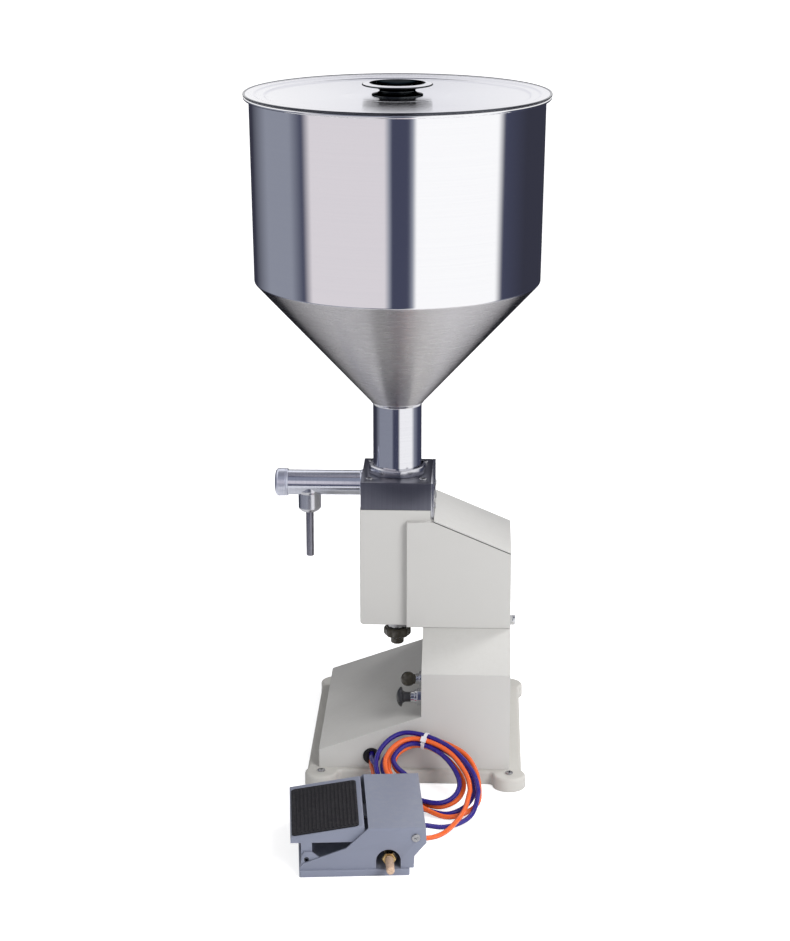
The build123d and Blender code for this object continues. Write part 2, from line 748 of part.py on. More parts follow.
keep(side_cover_near, "side_cover_near")

with BuildPart() as side_cover_far:
    add(side_cover_near.part.mirror(Plane.XZ))
keep(side_cover_far, "side_cover_far")

TOP_SHEET = 2.0
with BuildPart() as top_cover:
    with BuildSketch(Plane.XZ):
        with BuildLine():
            Polyline(
                (BLOCK_RIGHT + END_PLATE + 0.2, cover_line(BLOCK_RIGHT + END_PLATE) + SEAM),
                (BLOCK_RIGHT + END_PLATE + 0.2, COVER_TOP + SEAM + TOP_SHEET),
                (COLUMN_RIGHT, SLOPE_LOW + SEAM + TOP_SHEET),
                (COLUMN_RIGHT, SLOPE_LOW + SEAM),
                close=True,
            )
        make_face()
    extrude(amount=COVER_HALF, both=True)
    fillet(top_cover.edges().filter_by(Axis.Y).sort_by(Axis.X)[-2:].sort_by(Axis.Z)[-1:], 1.2)
    with BuildSketch(Plane.XZ):
        with BuildLine():
            Polyline(
                (46, cover_line(46) + SEAM + 1),
                (112, cover_line(112) + SEAM + 1),
                (112, cover_line(112) - 8),
                (46, cover_line(46) - 8),
                close=True,
            )
        make_face()
    extrude(amount=HEAD_HALF - SHEET - 0.1, both=True)
    with BuildSketch(Plane.XZ):
        with BuildLine():
            Polyline(
                (44, cover_line(44) + SEAM),
                (114, cover_line(114) + SEAM),
                (114, cover_line(114) - 12),
                (44, cover_line(44) - 12),
                close=True,
            )
        make_face()
    extrude(amount=HEAD_HALF - 2 * SHEET - 0.1, both=True, mode=Mode.SUBTRACT)
keep(top_cover, "top_cover")

# Base housing: a wedge in front, a box under the column and sloped shoulders

with BuildPart() as base_housing:
    with BuildSketch(Plane.XZ):
        with BuildLine():
            Polyline(
                (BASE_LEFT, SLAB_HEIGHT),
                (BASE_LEFT, WEDGE_LOW),
                (COLUMN_LEFT, WEDGE_TOP),
                (COLUMN_LEFT, SHOULDER),
                (COLUMN_RIGHT, SHOULDER),
                (COLUMN_RIGHT, SLAB_HEIGHT),
                close=True,
            )
        make_face()
    extrude(amount=BASE_HALF, both=True)
    with BuildSketch(Plane.YZ.offset(COLUMN_LEFT)):
        with BuildLine():
            Polyline(
                (-BASE_HALF, SHOULDER),
                (BASE_HALF, SHOULDER),
                (COVER_HALF, HEAD_LOW),
                (-COVER_HALF, HEAD_LOW),
                close=True,
            )
        make_face()
    extrude(amount=COLUMN_RIGHT - COLUMN_LEFT)
    fillet(base_housing.edges().filter_by(Axis.Z).sort_by(Axis.X)[:2], 1.5)
    with BuildSketch(Plane.XZ):
        with BuildLine():
            Polyline(
                (BASE_LEFT + SHEET, SLAB_HEIGHT + SHEET),
                (BASE_LEFT + SHEET, WEDGE_LOW - 1.1),
                (COLUMN_LEFT + SHEET, WEDGE_TOP - 1.1),
                (COLUMN_LEFT + SHEET, SHOULDER - 0.4),
                (COLUMN_RIGHT - SHEET, SHOULDER - 0.4),
                (COLUMN_RIGHT - SHEET, SLAB_HEIGHT + SHEET),
                close=True,
            )
        make_face()
    extrude(amount=BASE_HALF - SHEET, both=True, mode=Mode.SUBTRACT)
    with BuildSketch(Plane.YZ.offset(COLUMN_LEFT + SHEET)):
        with BuildLine():
            Polyline(
                (-BASE_HALF + SHEET, SHOULDER - 0.4),
                (BASE_HALF - SHEET, SHOULDER - 0.4),
                (COVER_HALF - 3, HEAD_LOW - SHEET),
                (-COVER_HALF + 3, HEAD_LOW - SHEET),
                close=True,
            )
        make_face()
    extrude(amount=COLUMN_RIGHT - COLUMN_LEFT - 2 * SHEET, mode=Mode.SUBTRACT)
    with BuildSketch(Plane.XY.offset(HEAD_LOW)):
        with Locations(((COLUMN_LEFT + COLUMN_RIGHT) / 2, 0)):
            Rectangle(COLUMN_RIGHT - COLUMN_LEFT - 8, 2 * HEAD_HALF - 10)
    extrude(amount=-5, mode=Mode.SUBTRACT)
    with BuildSketch(Plane.XY.offset(SLAB_HEIGHT)):
        with Locations(((BASE_LEFT + COLUMN_RIGHT) / 2, 0)):
            Rectangle(COLUMN_RIGHT - BASE_LEFT - 24, 2 * BASE_HALF - 24)
    extrude(amount=SHEET, mode=Mode.SUBTRACT)
    with BuildSketch(along_x(COLUMN_LEFT, 0, CONTROL_Z)):
        with Locations((BUTTON_Y, 0), (SPEED_Y, 0)):
            Circle(5.0)
    extrude(amount=SHEET, mode=Mode.SUBTRACT)
    with BuildSketch(Plane.XZ.offset(BASE_HALF)):
        with Locations((GROMMET_X, GROMMET_Z)):
            Circle(7.5)
    extrude(amount=-SHEET, mode=Mode.SUBTRACT)
    with BuildSketch(along_x(COLUMN_RIGHT - SHEET, 0, INLET_Z)):
        Circle(4.0)
    extrude(amount=SHEET, mode=Mode.SUBTRACT)
keep(base_housing, "base_housing")

LOBES = [(x, y) for x in (LOBE_LEFT, LOBE_RIGHT) for y in (-LOBE_Y, LOBE_Y)]
PAD_R = 12.5
with BuildPart() as base_plate:
    with BuildSketch() as slab_outline:
        with Locations(((SLAB_LEFT + SLAB_RIGHT) / 2, 0)):
            Rectangle(SLAB_RIGHT - SLAB_LEFT, 2 * SLAB_HALF)
        with Locations(*LOBES):
            Circle(LOBE_R)
        fillet(slab_outline.vertices(), 5)
    extrude(amount=SLAB_HEIGHT)
    fillet(base_plate.faces().sort_by(Axis.Z)[-1].outer_wire().edges(), 3)
    with BuildSketch():
        with Locations(*LOBES):
            Circle(PAD_R + 0.2)
    extrude(amount=4, mode=Mode.SUBTRACT)
    with BuildSketch():
        with Locations(*LOBES):
            Circle(2.5)
    extrude(amount=SLAB_HEIGHT, mode=Mode.SUBTRACT)
keep(base_plate, "base_plate")

with BuildPart() as rubber_pads:
    with BuildSketch():
        with Locations(*LOBES):
            Circle(PAD_R)
            Circle(2.6, mode=Mode.SUBTRACT)
    extrude(amount=4)
keep(rubber_pads, "rubber_pads")

with BuildPart() as pad_screws:
    with BuildSketch(Plane.XY.offset(SLAB_HEIGHT)):
        with Locations(*LOBES):
            Circle(4.0)
    extrude(amount=1.8)
    chamfer(pad_screws.faces().sort_by(Axis.Z)[-4:].edges(), 0.7)
    with BuildSketch(Plane.XY.offset(SLAB_HEIGHT)):
        with Locations(*LOBES):
            Circle(2.5)
    extrude(amount=-11)
    with BuildSketch(Plane.XY.offset(SLAB_HEIGHT + 1.8)):
        with Locations(*LOBES):
            Rectangle(4.4, 0.9)
            Rectangle(0.9, 4.4)
    extrude(amount=-1.0, mode=Mode.SUBTRACT)
keep(pad_screws, "pad_screws")

# Controls on the upright face, grommet and air inlet

BUTTON_TRAVEL = 4.0
BARREL_R = 5.2


def turned_on_x(y, z, outline):
    """A solid turned about an axis along X at the given height and depth, from (x, radius) points."""
    with BuildPart() as turned:
        with BuildSketch(Plane(origin=(0, y, z), x_dir=(1, 0, 0), z_dir=(0, -1, 0))):
            with BuildLine():
                Polyline(*outline, close=True)
            make_face()
        revolve(axis=Axis((0, y, z), (1, 0, 0)))
    return turned


mode_valve_body = turned_on_x(
    BUTTON_Y,
    CONTROL_Z,
    [
        (17.5, BARREL_R + RUN_GAP),
        (17.5, 6.0),
        (21.5, 6.0),
        (21.5, 7.2),
        (24.0, 7.2),
        (24.0, 9.2),
        (COLUMN_LEFT, 9.2),
        (COLUMN_LEFT, 5.0),
        (32.5, 5.0),
        (32.5, 10.0),
        (60.0, 10.0),
        (60.0, 0.0),
        (26.0, 0.0),
        (26.0, BARREL_R + RUN_GAP),
    ],
)
keep(mode_valve_body, "mode_valve_body")

mode_button = turned_on_x(
    BUTTON_Y,
    CONTROL_Z,
    [
        (2.6, 0.0),
        (3.0, 4.6),
        (4.3, 7.8),
        (6.4, 10.2),
        (8.0, 10.6),
        (8.6, 9.6),
        (9.2, BARREL_R + 1.2),
        (10.6, BARREL_R),
        (21.5, BARREL_R),
        (21.5, 0.0),
    ],
)
keep(mode_button, "mode_button")

speed_valve_body = turned_on_x(
    SPEED_Y,
    CONTROL_Z,
    [
        (21.5, 3.0 + RUN_GAP),
        (21.5, 5.6),
        (25.0, 5.6),
        (25.0, 8.0),
        (COLUMN_LEFT, 8.0),
        (COLUMN_LEFT, 5.0),
        (32.5, 5.0),
        (32.5, 9.0),
        (56.0, 9.0),
        (56.0, 0.0),
        (34.0, 0.0),
        (34.0, 3.0 + RUN_GAP),
    ],
)
keep(speed_valve_body, "speed_valve_body")

speed_knob = turned_on_x(
    SPEED_Y,
    CONTROL_Z,
    [
        (5.2, 0),
        (6.1, 3.7),
        (8.7, 6.6),
        (12.3, 7.9),
        (16.1, 7.4),
        (19.2, 5.2),
        (21.0, 5.2),
        (21.0, 3.0),
        (33.0, 3.0),
        (33.0, 0),
    ],
)
keep(speed_knob, "speed_knob")

with BuildPart() as hose_grommet:
    with BuildSketch(Plane.XZ.offset(BASE_HALF - SHEET - 1.5)):
        with Locations((GROMMET_X, GROMMET_Z)):
            Circle(9.0)
    extrude(amount=SHEET + 2.7)
    with BuildSketch(Plane.XZ.offset(BASE_HALF - SHEET)):
        with Locations((GROMMET_X, GROMMET_Z)):
            Circle(12.0)
            Circle(7.5, mode=Mode.SUBTRACT)
    extrude(amount=SHEET, mode=Mode.SUBTRACT)
    with BuildSketch(Plane.XZ.offset(BASE_HALF - 10)):
        with Locations((GROMMET_X, GROMMET_Z)):
            SlotOverall(11.8, 6.0, rotation=90)
    extrude(amount=20, mode=Mode.SUBTRACT)
keep(hose_grommet, "hose_grommet")

air_inlet = turned_on_x(
    0,
    INLET_Z,
    [
        (COLUMN_RIGHT - 10, 3.05),
        (COLUMN_RIGHT - 10, 6.5),
        (COLUMN_RIGHT - SHEET, 6.5),
        (COLUMN_RIGHT - SHEET, 4.0),
        (COLUMN_RIGHT, 4.0),
        (COLUMN_RIGHT, 5.2),
        (COLUMN_RIGHT + 5.4, 5.2),
        (COLUMN_RIGHT + 6.0, 4.6),
        (COLUMN_RIGHT + 6.0, 3.05),
    ],
)
keep(air_inlet, "air_inlet")

# Foot valve

PIN_NEAR = 5.2
PIN_FAR = 130.8
with BuildPart() as pedal_base:
    with BuildSketch(pedal_floor(52.5, PEDAL_DEPTH / 2, 0)):
        RectangleRounded(105, PEDAL_DEPTH, 2)
    extrude(amount=PEDAL_FLOOR)
    chamfer(pedal_base.faces().sort_by(Axis.Z)[-1].outer_wire().edges(), 0.8)
    for ear in (PIN_NEAR, PIN_FAR - 2.5):
        with BuildSketch(pedal_side(ear)):
            with BuildLine():
                Polyline(
                    (0.5, PEDAL_FLOOR - 1),
                    (2.5, 20),
                    (5, 23.5),
                    (12, 23.5),
                    (34, PEDAL_FLOOR - 1),
                    close=True,
                )
            make_face()
            with Locations((PIVOT_U, PIVOT_Z)):
                Circle(PIN_R, mode=Mode.SUBTRACT)
        extrude(amount=-2.5)
keep(pedal_base, "pedal_base")

with BuildPart() as pedal_pivot_pin:
    with BuildSketch(pedal_side(PIN_NEAR)):
        with Locations((PIVOT_U, PIVOT_Z)):
            Circle(PIN_R)
    extrude(amount=-(PIN_FAR - PIN_NEAR))
    with BuildSketch(pedal_side(PIN_NEAR)):
        with Locations((PIVOT_U, PIVOT_Z)):
            RegularPolygon(1.5, 6)
    extrude(amount=-2, mode=Mode.SUBTRACT)
keep(pedal_pivot_pin, "pedal_pivot_pin")

COVER_OUTLINE = [
    (0.5, PEDAL_FLOOR),
    (0.5, 9.0),
    (4.5, 13.2),
    (45.0, 27.7),
    (66.0, 47.5),
    (120.5, 47.5),
    (121.0, 32.0),
    (109.6, 18.6),
    (109.0, PEDAL_FLOOR),
]
COVER_HOLLOW = [
    (-5, 0),
    (-5, 60),
    (66.0, 60),
    (66.0, 47.5 - PEDAL_SHEET),
    (118.1, 47.5 - PEDAL_SHEET),
    (118.5, 32.9),
    (107.1, 19.5),
    (106.5, 0),
]
COVER_NEAR = 2.5
COVER_FAR = 133.5
HOSE_EXITS = [(82.0, 15.0), (46.0, 15.0)]
with BuildPart() as pedal_cover:
    with BuildSketch(pedal_side(COVER_NEAR)):
        with BuildLine():
            Polyline(*COVER_OUTLINE, close=True)
        make_face()
    extrude(amount=-(COVER_FAR - COVER_NEAR))
    top_edges = pedal_cover.faces().sort_by(Axis.Z)[-1].edges()
    fillet([e for e in top_edges if e.length > 54 and e.length < 60], 2.4)
    with BuildSketch(pedal_side(COVER_NEAR + PEDAL_SHEET)):
        with BuildLine():
            Polyline(*COVER_HOLLOW, close=True)
        make_face()
    extrude(amount=-(COVER_FAR - COVER_NEAR - 2 * PEDAL_SHEET), mode=Mode.SUBTRACT)
    with BuildSketch(pedal_side(COVER_NEAR)):
        with Locations((SILENCER_U - 1, SILENCER_Z)):
            Circle(11.8)
        with Locations((SILENCER_U - 1, PEDAL_FLOOR + 3)):
            Rectangle(23.6, 10)
    extrude(amount=-PEDAL_SHEET, mode=Mode.SUBTRACT)
    for v, z in HOSE_EXITS:
        with BuildSketch(pedal_end(100, v, z)):
            RectangleRounded(13, 13, 3)
        extrude(amount=12, mode=Mode.SUBTRACT)
    with BuildSketch(pedal_side(COVER_NEAR)):
        with Locations((111.0, 37.5)):
            Circle(2.0)
    extrude(amount=-(COVER_FAR - COVER_NEAR), mode=Mode.SUBTRACT)
keep(pedal_cover, "pedal_cover")

TREADLE_NEAR = 8.0
TREADLE_FAR = 128.0
TREADLE_SHEET = 2.0
TREADLE_HEEL = (-8.0, 37.4)
TREADLE_TOE = (62.5, 47.9)
SKIRT_LOW = 31.8
TREADLE_TILT = math.degrees(
    math.atan2(TREADLE_TOE[1] - TREADLE_HEEL[1], TREADLE_TOE[0] - TREADLE_HEEL[0])
)


def treadle_top(u):
    """Height of the treadle's plate at u."""
    share = (u - TREADLE_HEEL[0]) / (TREADLE_TOE[0] - TREADLE_HEEL[0])
    return TREADLE_HEEL[1] + share * (TREADLE_TOE[1] - TREADLE_HEEL[1])


with BuildPart() as treadle:
    with BuildSketch(pedal_side(TREADLE_NEAR)):
        with BuildLine():
            Polyline(
                (TREADLE_HEEL[0], SKIRT_LOW),
                TREADLE_HEEL,
                TREADLE_TOE,
                (TREADLE_TOE[0], SKIRT_LOW),
                close=True,
            )
        make_face()
    extrude(amount=-(TREADLE_FAR - TREADLE_NEAR))
    plate_edges = treadle.faces().sort_by(Axis.Z)[-1].edges()
    fillet(plate_edges, 1.6)
    with BuildSketch(pedal_side(TREADLE_NEAR + TREADLE_SHEET)):
        with BuildLine():
            Polyline(
                (TREADLE_HEEL[0] + TREADLE_SHEET, SKIRT_LOW - 2),
                (TREADLE_HEEL[0] + TREADLE_SHEET, treadle_top(TREADLE_HEEL[0] + 2) - TREADLE_SHEET),
                (TREADLE_TOE[0] - TREADLE_SHEET, treadle_top(TREADLE_TOE[0] - 2) - TREADLE_SHEET),
                (TREADLE_TOE[0] - TREADLE_SHEET, SKIRT_LOW - 2),
                close=True,
            )
        make_face()
    extrude(amount=-(TREADLE_FAR - TREADLE_NEAR - 2 * TREADLE_SHEET), mode=Mode.SUBTRACT)
    for leg in (TREADLE_NEAR, TREADLE_FAR - TREADLE_SHEET):
        with BuildSketch(pedal_side(leg)):
            with BuildLine():
                Polyline((2, SKIRT_LOW + 1), (2, 16), (4, 11), (10, 11), (12.5, 16),
                         (12.5, SKIRT_LOW + 1), close=True)
            make_face()
            with Locations((PIVOT_U, PIVOT_Z)):
                Circle(PIN_R + RUN_GAP, mode=Mode.SUBTRACT)
        extrude(amount=-TREADLE_SHEET)
    with BuildSketch(pedal_side(PLUNGER_V - 14)):
        with BuildLine():
            Polyline((60.6, 35.5), (82, 35.5), (82, 38), (60.6, 38), close=True)
        make_face()
    extrude(amount=-28)
keep(treadle, "treadle")

with BuildPart() as treadle_pad:
    with BuildSketch(pedal_side(10.5)):
        with BuildLine():
            Polyline(
                (-6.5, treadle_top(-6.5)),
                (57.5, treadle_top(57.5)),
                (57.2, treadle_top(57.5) + 1.8),
                (-6.8, treadle_top(-6.5) + 1.8),
                close=True,
            )
        make_face()
    extrude(amount=-107)
keep(treadle_pad, "treadle_pad")

BODY_TOP = 24.0
PLUNGER_TOP = 35.2
COLLAR_Z = 31.0
COUNTERBORE = 16.0
with BuildPart() as pedal_valve_body:
    with BuildSketch(pedal_floor(85, 74, PEDAL_FLOOR)):
        RectangleRounded(30, 68, 3)
    extrude(amount=BODY_TOP - PEDAL_FLOOR)
    with BuildSketch(pedal_floor(PLUNGER_U, PLUNGER_V, PEDAL_FLOOR)):
        Circle(4 + RUN_GAP)
    extrude(amount=20, mode=Mode.SUBTRACT)
    with BuildSketch(pedal_floor(PLUNGER_U, PLUNGER_V, COUNTERBORE)):
        Circle(5.8)
    extrude(amount=10, mode=Mode.SUBTRACT)
keep(pedal_valve_body, "pedal_valve_body")

with BuildPart() as pedal_plunger:
    with BuildSketch(Plane(origin=pedal_point(PLUNGER_U, PLUNGER_V, 0), x_dir=PEDAL_U_DIR,
                           z_dir=PEDAL_TO_VIEWER)):
        with BuildLine():
            Polyline(
                (0, PLUNGER_TOP),
                (0, 14.2),
                (4, 14.2),
                (4, 19),
                (2.6, 19),
                (2.6, COLLAR_Z),
                (5.2, COLLAR_Z),
                (5.2, COLLAR_Z + 1.4),
                (4, COLLAR_Z + 1.4),
                (4, PLUNGER_TOP - 1.2),
                (2.2, PLUNGER_TOP - 0.3),
                close=True,
            )
        make_face()
    revolve(axis=Axis(pedal_point(PLUNGER_U, PLUNGER_V, 0), (0, 0, 1)))
keep(pedal_plunger, "pedal_plunger")

pedal_spring = coil_spring(
    Vector(*pedal_point(PLUNGER_U, PLUNGER_V, COUNTERBORE + 3.2)), Vector(0, 0, 1), 4.3, 1.1,
    COLLAR_Z - COUNTERBORE - 3.2, 4,
)
keep(pedal_spring, "pedal_spring")

with BuildPart() as silencer:
    with BuildSketch(pedal_side(6)):
        with Locations((SILENCER_U, SILENCER_Z)):
            RegularPolygon(6.9, 6, rotation=30)
    extrude(amount=-6)
    with BuildSketch(pedal_side(12)):
        with Locations((SILENCER_U, SILENCER_Z)):
            Circle(4.6)
    extrude(amount=-28)
    with BuildSketch(pedal_side(6)):
        with Locations((SILENCER_U, SILENCER_Z)):
            Circle(4.0)
    extrude(amount=27)
    fillet(silencer.faces().sort_by(Axis.Y)[0].edges(), 1.6)
keep(silencer, "silencer")

with BuildPart() as hose_fittings:
    for v, z in HOSE_EXITS:
        with BuildSketch(pedal_end(100, v, z)):
            Circle(5.8)
        extrude(amount=5)
        with BuildSketch(pedal_end(105, v, z)):
            Circle(4.2)
            Circle(HOSE_R + 0.1, mode=Mode.SUBTRACT)
        extrude(amount=4)
keep(hose_fittings, "hose_fittings")

with BuildPart() as pedal_screws:
    for v, out in ((COVER_NEAR, 1), (COVER_FAR, -1)):
        with BuildSketch(pedal_side(v)):
            with Locations((111.0, 37.5)):
                Circle(4.3)
        extrude(amount=1.5 * out)
        with BuildSketch(pedal_side(v)):
            with Locations((111.0, 37.5)):
                Circle(2.0)
        extrude(amount=-6 * out)
keep(pedal_screws, "pedal_screws")

# Hoses: a lead from the grommet, a tied coil that leans on the housing, and a tail to the valve


def hose_tube(name, points):
    """A hose along straight runs joined by the largest arcs that its runs allow."""
    spots = [Vector(*p) for p in points]
    radii = []
    for before, corner, after in zip(spots, spots[1:], spots[2:]):
        turn = math.radians((corner - before).get_angle(after - corner))
        shorter = min((corner - before).length, (after - corner).length)
        radii.append(0.45 * shorter / math.tan(turn / 2))
    with BuildPart() as tube:
        with BuildLine() as route:
            FilletPolyline(*spots, radius=radii)
        with BuildSketch(Plane(origin=route.line @ 0, z_dir=route.line % 0)):
            Circle(HOSE_R)
        sweep()
    length = sum(edge.length for edge in route.edges())
    share = tube.part.volume / (math.pi * HOSE_R**2 * length)
    print(name, "length", round(length, 1), "radii", [round(r, 1) for r in radii], round(share, 4))
    keep(tube, name)


EXIT_LOW = GROMMET_Z - 2.7
EXIT_HIGH = GROMMET_Z + 2.7
hose_tube(
    "hose_blue_lead",
    [
        (GROMMET_X, -116.0, EXIT_HIGH),
        (GROMMET_X + 0.3, -130.0, EXIT_HIGH + 0.9),
        (GROMMET_X + 4.4, -145.5, EXIT_HIGH + 3.0),
        (-11.8, -160.5, 34.5),
    ],
)
hose_tube(
    "hose_orange_lead",
    [
        (GROMMET_X, -116.0, EXIT_LOW),
        (GROMMET_X + 0.3, -130.0, EXIT_LOW + 0.2),
        (GROMMET_X + 4.8, -146.5, EXIT_LOW + 2.2),
        (-10.6, -162.5, 28.5),
    ],
)

with BuildPart() as hose_coil:
    lean = math.radians(COIL_TILT)
    normal = Vector(0, -math.sin(lean), math.cos(lean))
    coil_plane = Plane(
        origin=COIL_CENTRE, x_dir=Vector(1, 0, 0).rotate(Axis((0, 0, 0), normal), COIL_SKEW), z_dir=normal
    )
    with BuildLine(coil_plane) as ring:
        half = COIL_SPREAD / 2
        Line((half, COIL_TURN), (-half, COIL_TURN))
        ThreePointArc((-half, COIL_TURN), (-half - COIL_TURN, 0), (-half, -COIL_TURN))
        Line((-half, -COIL_TURN), (half, -COIL_TURN))
        ThreePointArc((half, -COIL_TURN), (half + COIL_TURN, 0), (half, COIL_TURN))
    with BuildSketch(Plane(origin=ring.line @ 0, z_dir=ring.line % 0)):
        Circle(COIL_BUNDLE)
    sweep()
keep(hose_coil, "hose_coil")

hose_tube(
    "hose_blue_tail",
    [
        pedal_point(105.2, *HOSE_EXITS[0]),
        pedal_point(122.0, *HOSE_EXITS[0]),
        (52.0, -248.5, 6.8),
        (66.0, -238.0, 4.6),
        (81.0, -223.5, 4.2),
        (87.0, -203.0, 8.2),
        (80.5, -188.0, 18.0),
    ],
)
hose_tube(
    "hose_orange_tail",
    [
        pedal_point(105.2, *HOSE_EXITS[1]),
        pedal_point(122.0, *HOSE_EXITS[1]),
        (50.0, -281.0, 12.0),
        (61.0, -266.0, 10.5),
        (70.0, -243.0, 10.2),
        (77.0, -221.0, 12.0),
        (80.5, -203.0, 15.0),
        (76.0, -188.5, 22.0),
    ],
)

TIE_SPOT = (33.0, -133.3, 51.0)
TIE_TURN = math.radians(-11.6)
tie_plane = Plane(
    origin=TIE_SPOT,
    x_dir=(0, 1, 0),
    z_dir=(
        math.cos(TIE_TURN),
        math.sin(TIE_TURN) * math.cos(lean),
        math.sin(TIE_TURN) * math.sin(lean),
    ),
)
with BuildPart() as cable_tie:
    with BuildSketch(tie_plane.offset(-1.5)):
        Circle(COIL_BUNDLE + 1.5)
        Circle(COIL_BUNDLE + 0.5, mode=Mode.SUBTRACT)
    extrude(amount=3)
    with BuildSketch(tie_plane.offset(-2.5)):
        with Locations((-7, 7)):
            Rectangle(5, 4, rotation=45)
    extrude(amount=5)
keep(cable_tie, "cable_tie")
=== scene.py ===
"""Studio scene of a pneumatic piston filler for liquids.

Metres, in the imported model's frame: the hopper's axis is Z, the outlet points to -X, the column stands
at +X and the foot valve at -Y. Outlines of turned and bent pieces are written in millimetres.
"""

from math import atan, cos, hypot, pi, radians, sin, tau

import bmesh
import bpy
from mathutils import Matrix, Vector


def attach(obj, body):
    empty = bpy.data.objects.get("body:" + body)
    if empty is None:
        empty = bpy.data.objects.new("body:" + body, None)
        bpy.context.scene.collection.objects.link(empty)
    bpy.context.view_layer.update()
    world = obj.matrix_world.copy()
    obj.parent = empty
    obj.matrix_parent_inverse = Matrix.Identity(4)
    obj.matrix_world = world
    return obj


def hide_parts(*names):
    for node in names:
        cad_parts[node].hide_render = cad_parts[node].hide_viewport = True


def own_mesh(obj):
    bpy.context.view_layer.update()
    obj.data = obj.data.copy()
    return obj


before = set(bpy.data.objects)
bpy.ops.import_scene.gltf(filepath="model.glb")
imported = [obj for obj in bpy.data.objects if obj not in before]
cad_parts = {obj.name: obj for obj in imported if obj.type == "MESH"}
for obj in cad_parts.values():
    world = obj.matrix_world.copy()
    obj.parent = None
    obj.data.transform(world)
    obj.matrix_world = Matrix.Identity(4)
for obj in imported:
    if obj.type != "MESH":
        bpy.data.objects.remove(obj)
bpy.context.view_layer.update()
scene = bpy.context.scene
MM = 0.001


def shade(*levels):
    """A colour as a picture shows it, 0 to 255, as the linear colour that a socket takes."""
    shares = [level / 255 for level in levels]
    return (*(v / 12.92 if v <= 0.04045 else ((v + 0.055) / 1.055) ** 2.4 for v in shares), 1.0)


def new_object(name, data):
    piece = bpy.data.objects.new(name, data)
    scene.collection.objects.link(piece)
    return piece


# Camera

CAMERA_PLACE = (0.08703, -2.42968, 1.01119)
CAMERA_DOWN = 16.28
CAMERA_LEFT = 2.11
camera_data = bpy.data.cameras.new("camera")
camera_data.lens = 92.065
camera_data.sensor_width = 36.0
camera = new_object("camera", camera_data)
camera.location = CAMERA_PLACE
camera.rotation_euler = (radians(90 - CAMERA_DOWN), 0, radians(CAMERA_LEFT))
scene.camera = camera
scene.view_settings.view_transform = "Standard"


# Small tools for node trees

def feed(tree, socket, value):
    """Links a value that comes from a node, and sets any other."""
    if isinstance(value, bpy.types.NodeSocket):
        tree.links.new(value, socket)
    else:
        socket.default_value = value


def add(tree, kind, *first, **settings):
    """A node. Values or other nodes' outputs go into its first inputs in order and, by a name with a
    capital, into that input. The other settings are the node's own."""
    node = tree.nodes.new(kind)
    for key, value in settings.items():
        if key[0].islower():
            setattr(node, key, value)
    for socket, value in zip(node.inputs, first):
        feed(tree, socket, value)
    for key, value in settings.items():
        if key[0].isupper():
            feed(tree, node.inputs[key.replace("_", " ")], value)
    return node


def calculate(tree, operation, *values):
    return add(tree, "ShaderNodeMath", *values, operation=operation).outputs[0]


def remap(tree, value, low, high, to_low=0.0, to_high=1.0):
    """Brings a value from one range to another and holds it there."""
    return add(tree, "ShaderNodeMapRange", value, low, high, to_low, to_high).outputs["Result"]


def noise(tree, place, scale, detail, roughness=0.5):
    return add(tree, "ShaderNodeTexNoise", Vector=place, Scale=scale, Detail=detail,
               Roughness=roughness).outputs["Fac"]


def mix(tree, fac, first, second):
    """Mixes two colours, each a tuple or another mix's output."""
    node = add(tree, "ShaderNodeMix", data_type="RGBA", Factor=fac)
    feed(tree, node.inputs[6], first)
    feed(tree, node.inputs[7], second)
    return node.outputs[2]


def bump(tree, height, distance, **settings):
    node = add(tree, "ShaderNodeBump", Height=height, Distance=distance, **settings)
    return node.outputs["Normal"]


def start_tree(name, inputs, outputs, kind="ShaderNodeTree"):
    """A node group from inputs as {name: starting value or type} and outputs as {name: type}."""
    tree = bpy.data.node_groups.new(name, kind)
    for way, sockets in (("INPUT", inputs), ("OUTPUT", outputs)):
        for label, value in sockets.items():
            plain = {tuple: "Vector", float: "Float", int: "Int"}.get(type(value), value)
            socket = tree.interface.new_socket(label, in_out=way, socket_type="NodeSocket" + plain)
            if plain is not value:
                socket.default_value = value
    return tree, tree.nodes.new("NodeGroupInput").outputs, tree.nodes.new("NodeGroupOutput").inputs


# Small tools for meshes

def from_mesh(name, mesh, *materials):
    """An object made from a bmesh, which is freed."""
    data = bpy.data.meshes.new(name)
    mesh.to_mesh(data)
    mesh.free()
    for material in materials:
        data.materials.append(material)
    return new_object(name, data)


def finish_mesh(name, mesh, *materials, smooth=True):
    """Turns a bmesh into a piece whose faces look outwards."""
    bmesh.ops.remove_doubles(mesh, verts=mesh.verts, dist=1e-7)
    bmesh.ops.recalc_face_normals(mesh, faces=mesh.faces)
    for face in mesh.faces:
        face.smooth = smooth
    return from_mesh(name, mesh, *materials)


def points(mesh, spots, seat=Matrix()):
    """Points of a mesh at spots in mm, in a seat's frame."""
    return [mesh.verts.new(seat @ (Vector(spot) * MM)) for spot in spots]


def turns(steps):
    """Even turns round a circle."""
    return [tau * s / steps for s in range(steps)]


def circle(mesh, steps, height, reach, seat=Matrix()):
    """A ring of points about the seat's Z axis, where reach gives the radius at each turn."""
    spots = []
    for turn in turns(steps):
        spots.append((reach(turn) * cos(turn), reach(turn) * sin(turn), height))
    return points(mesh, spots, seat)


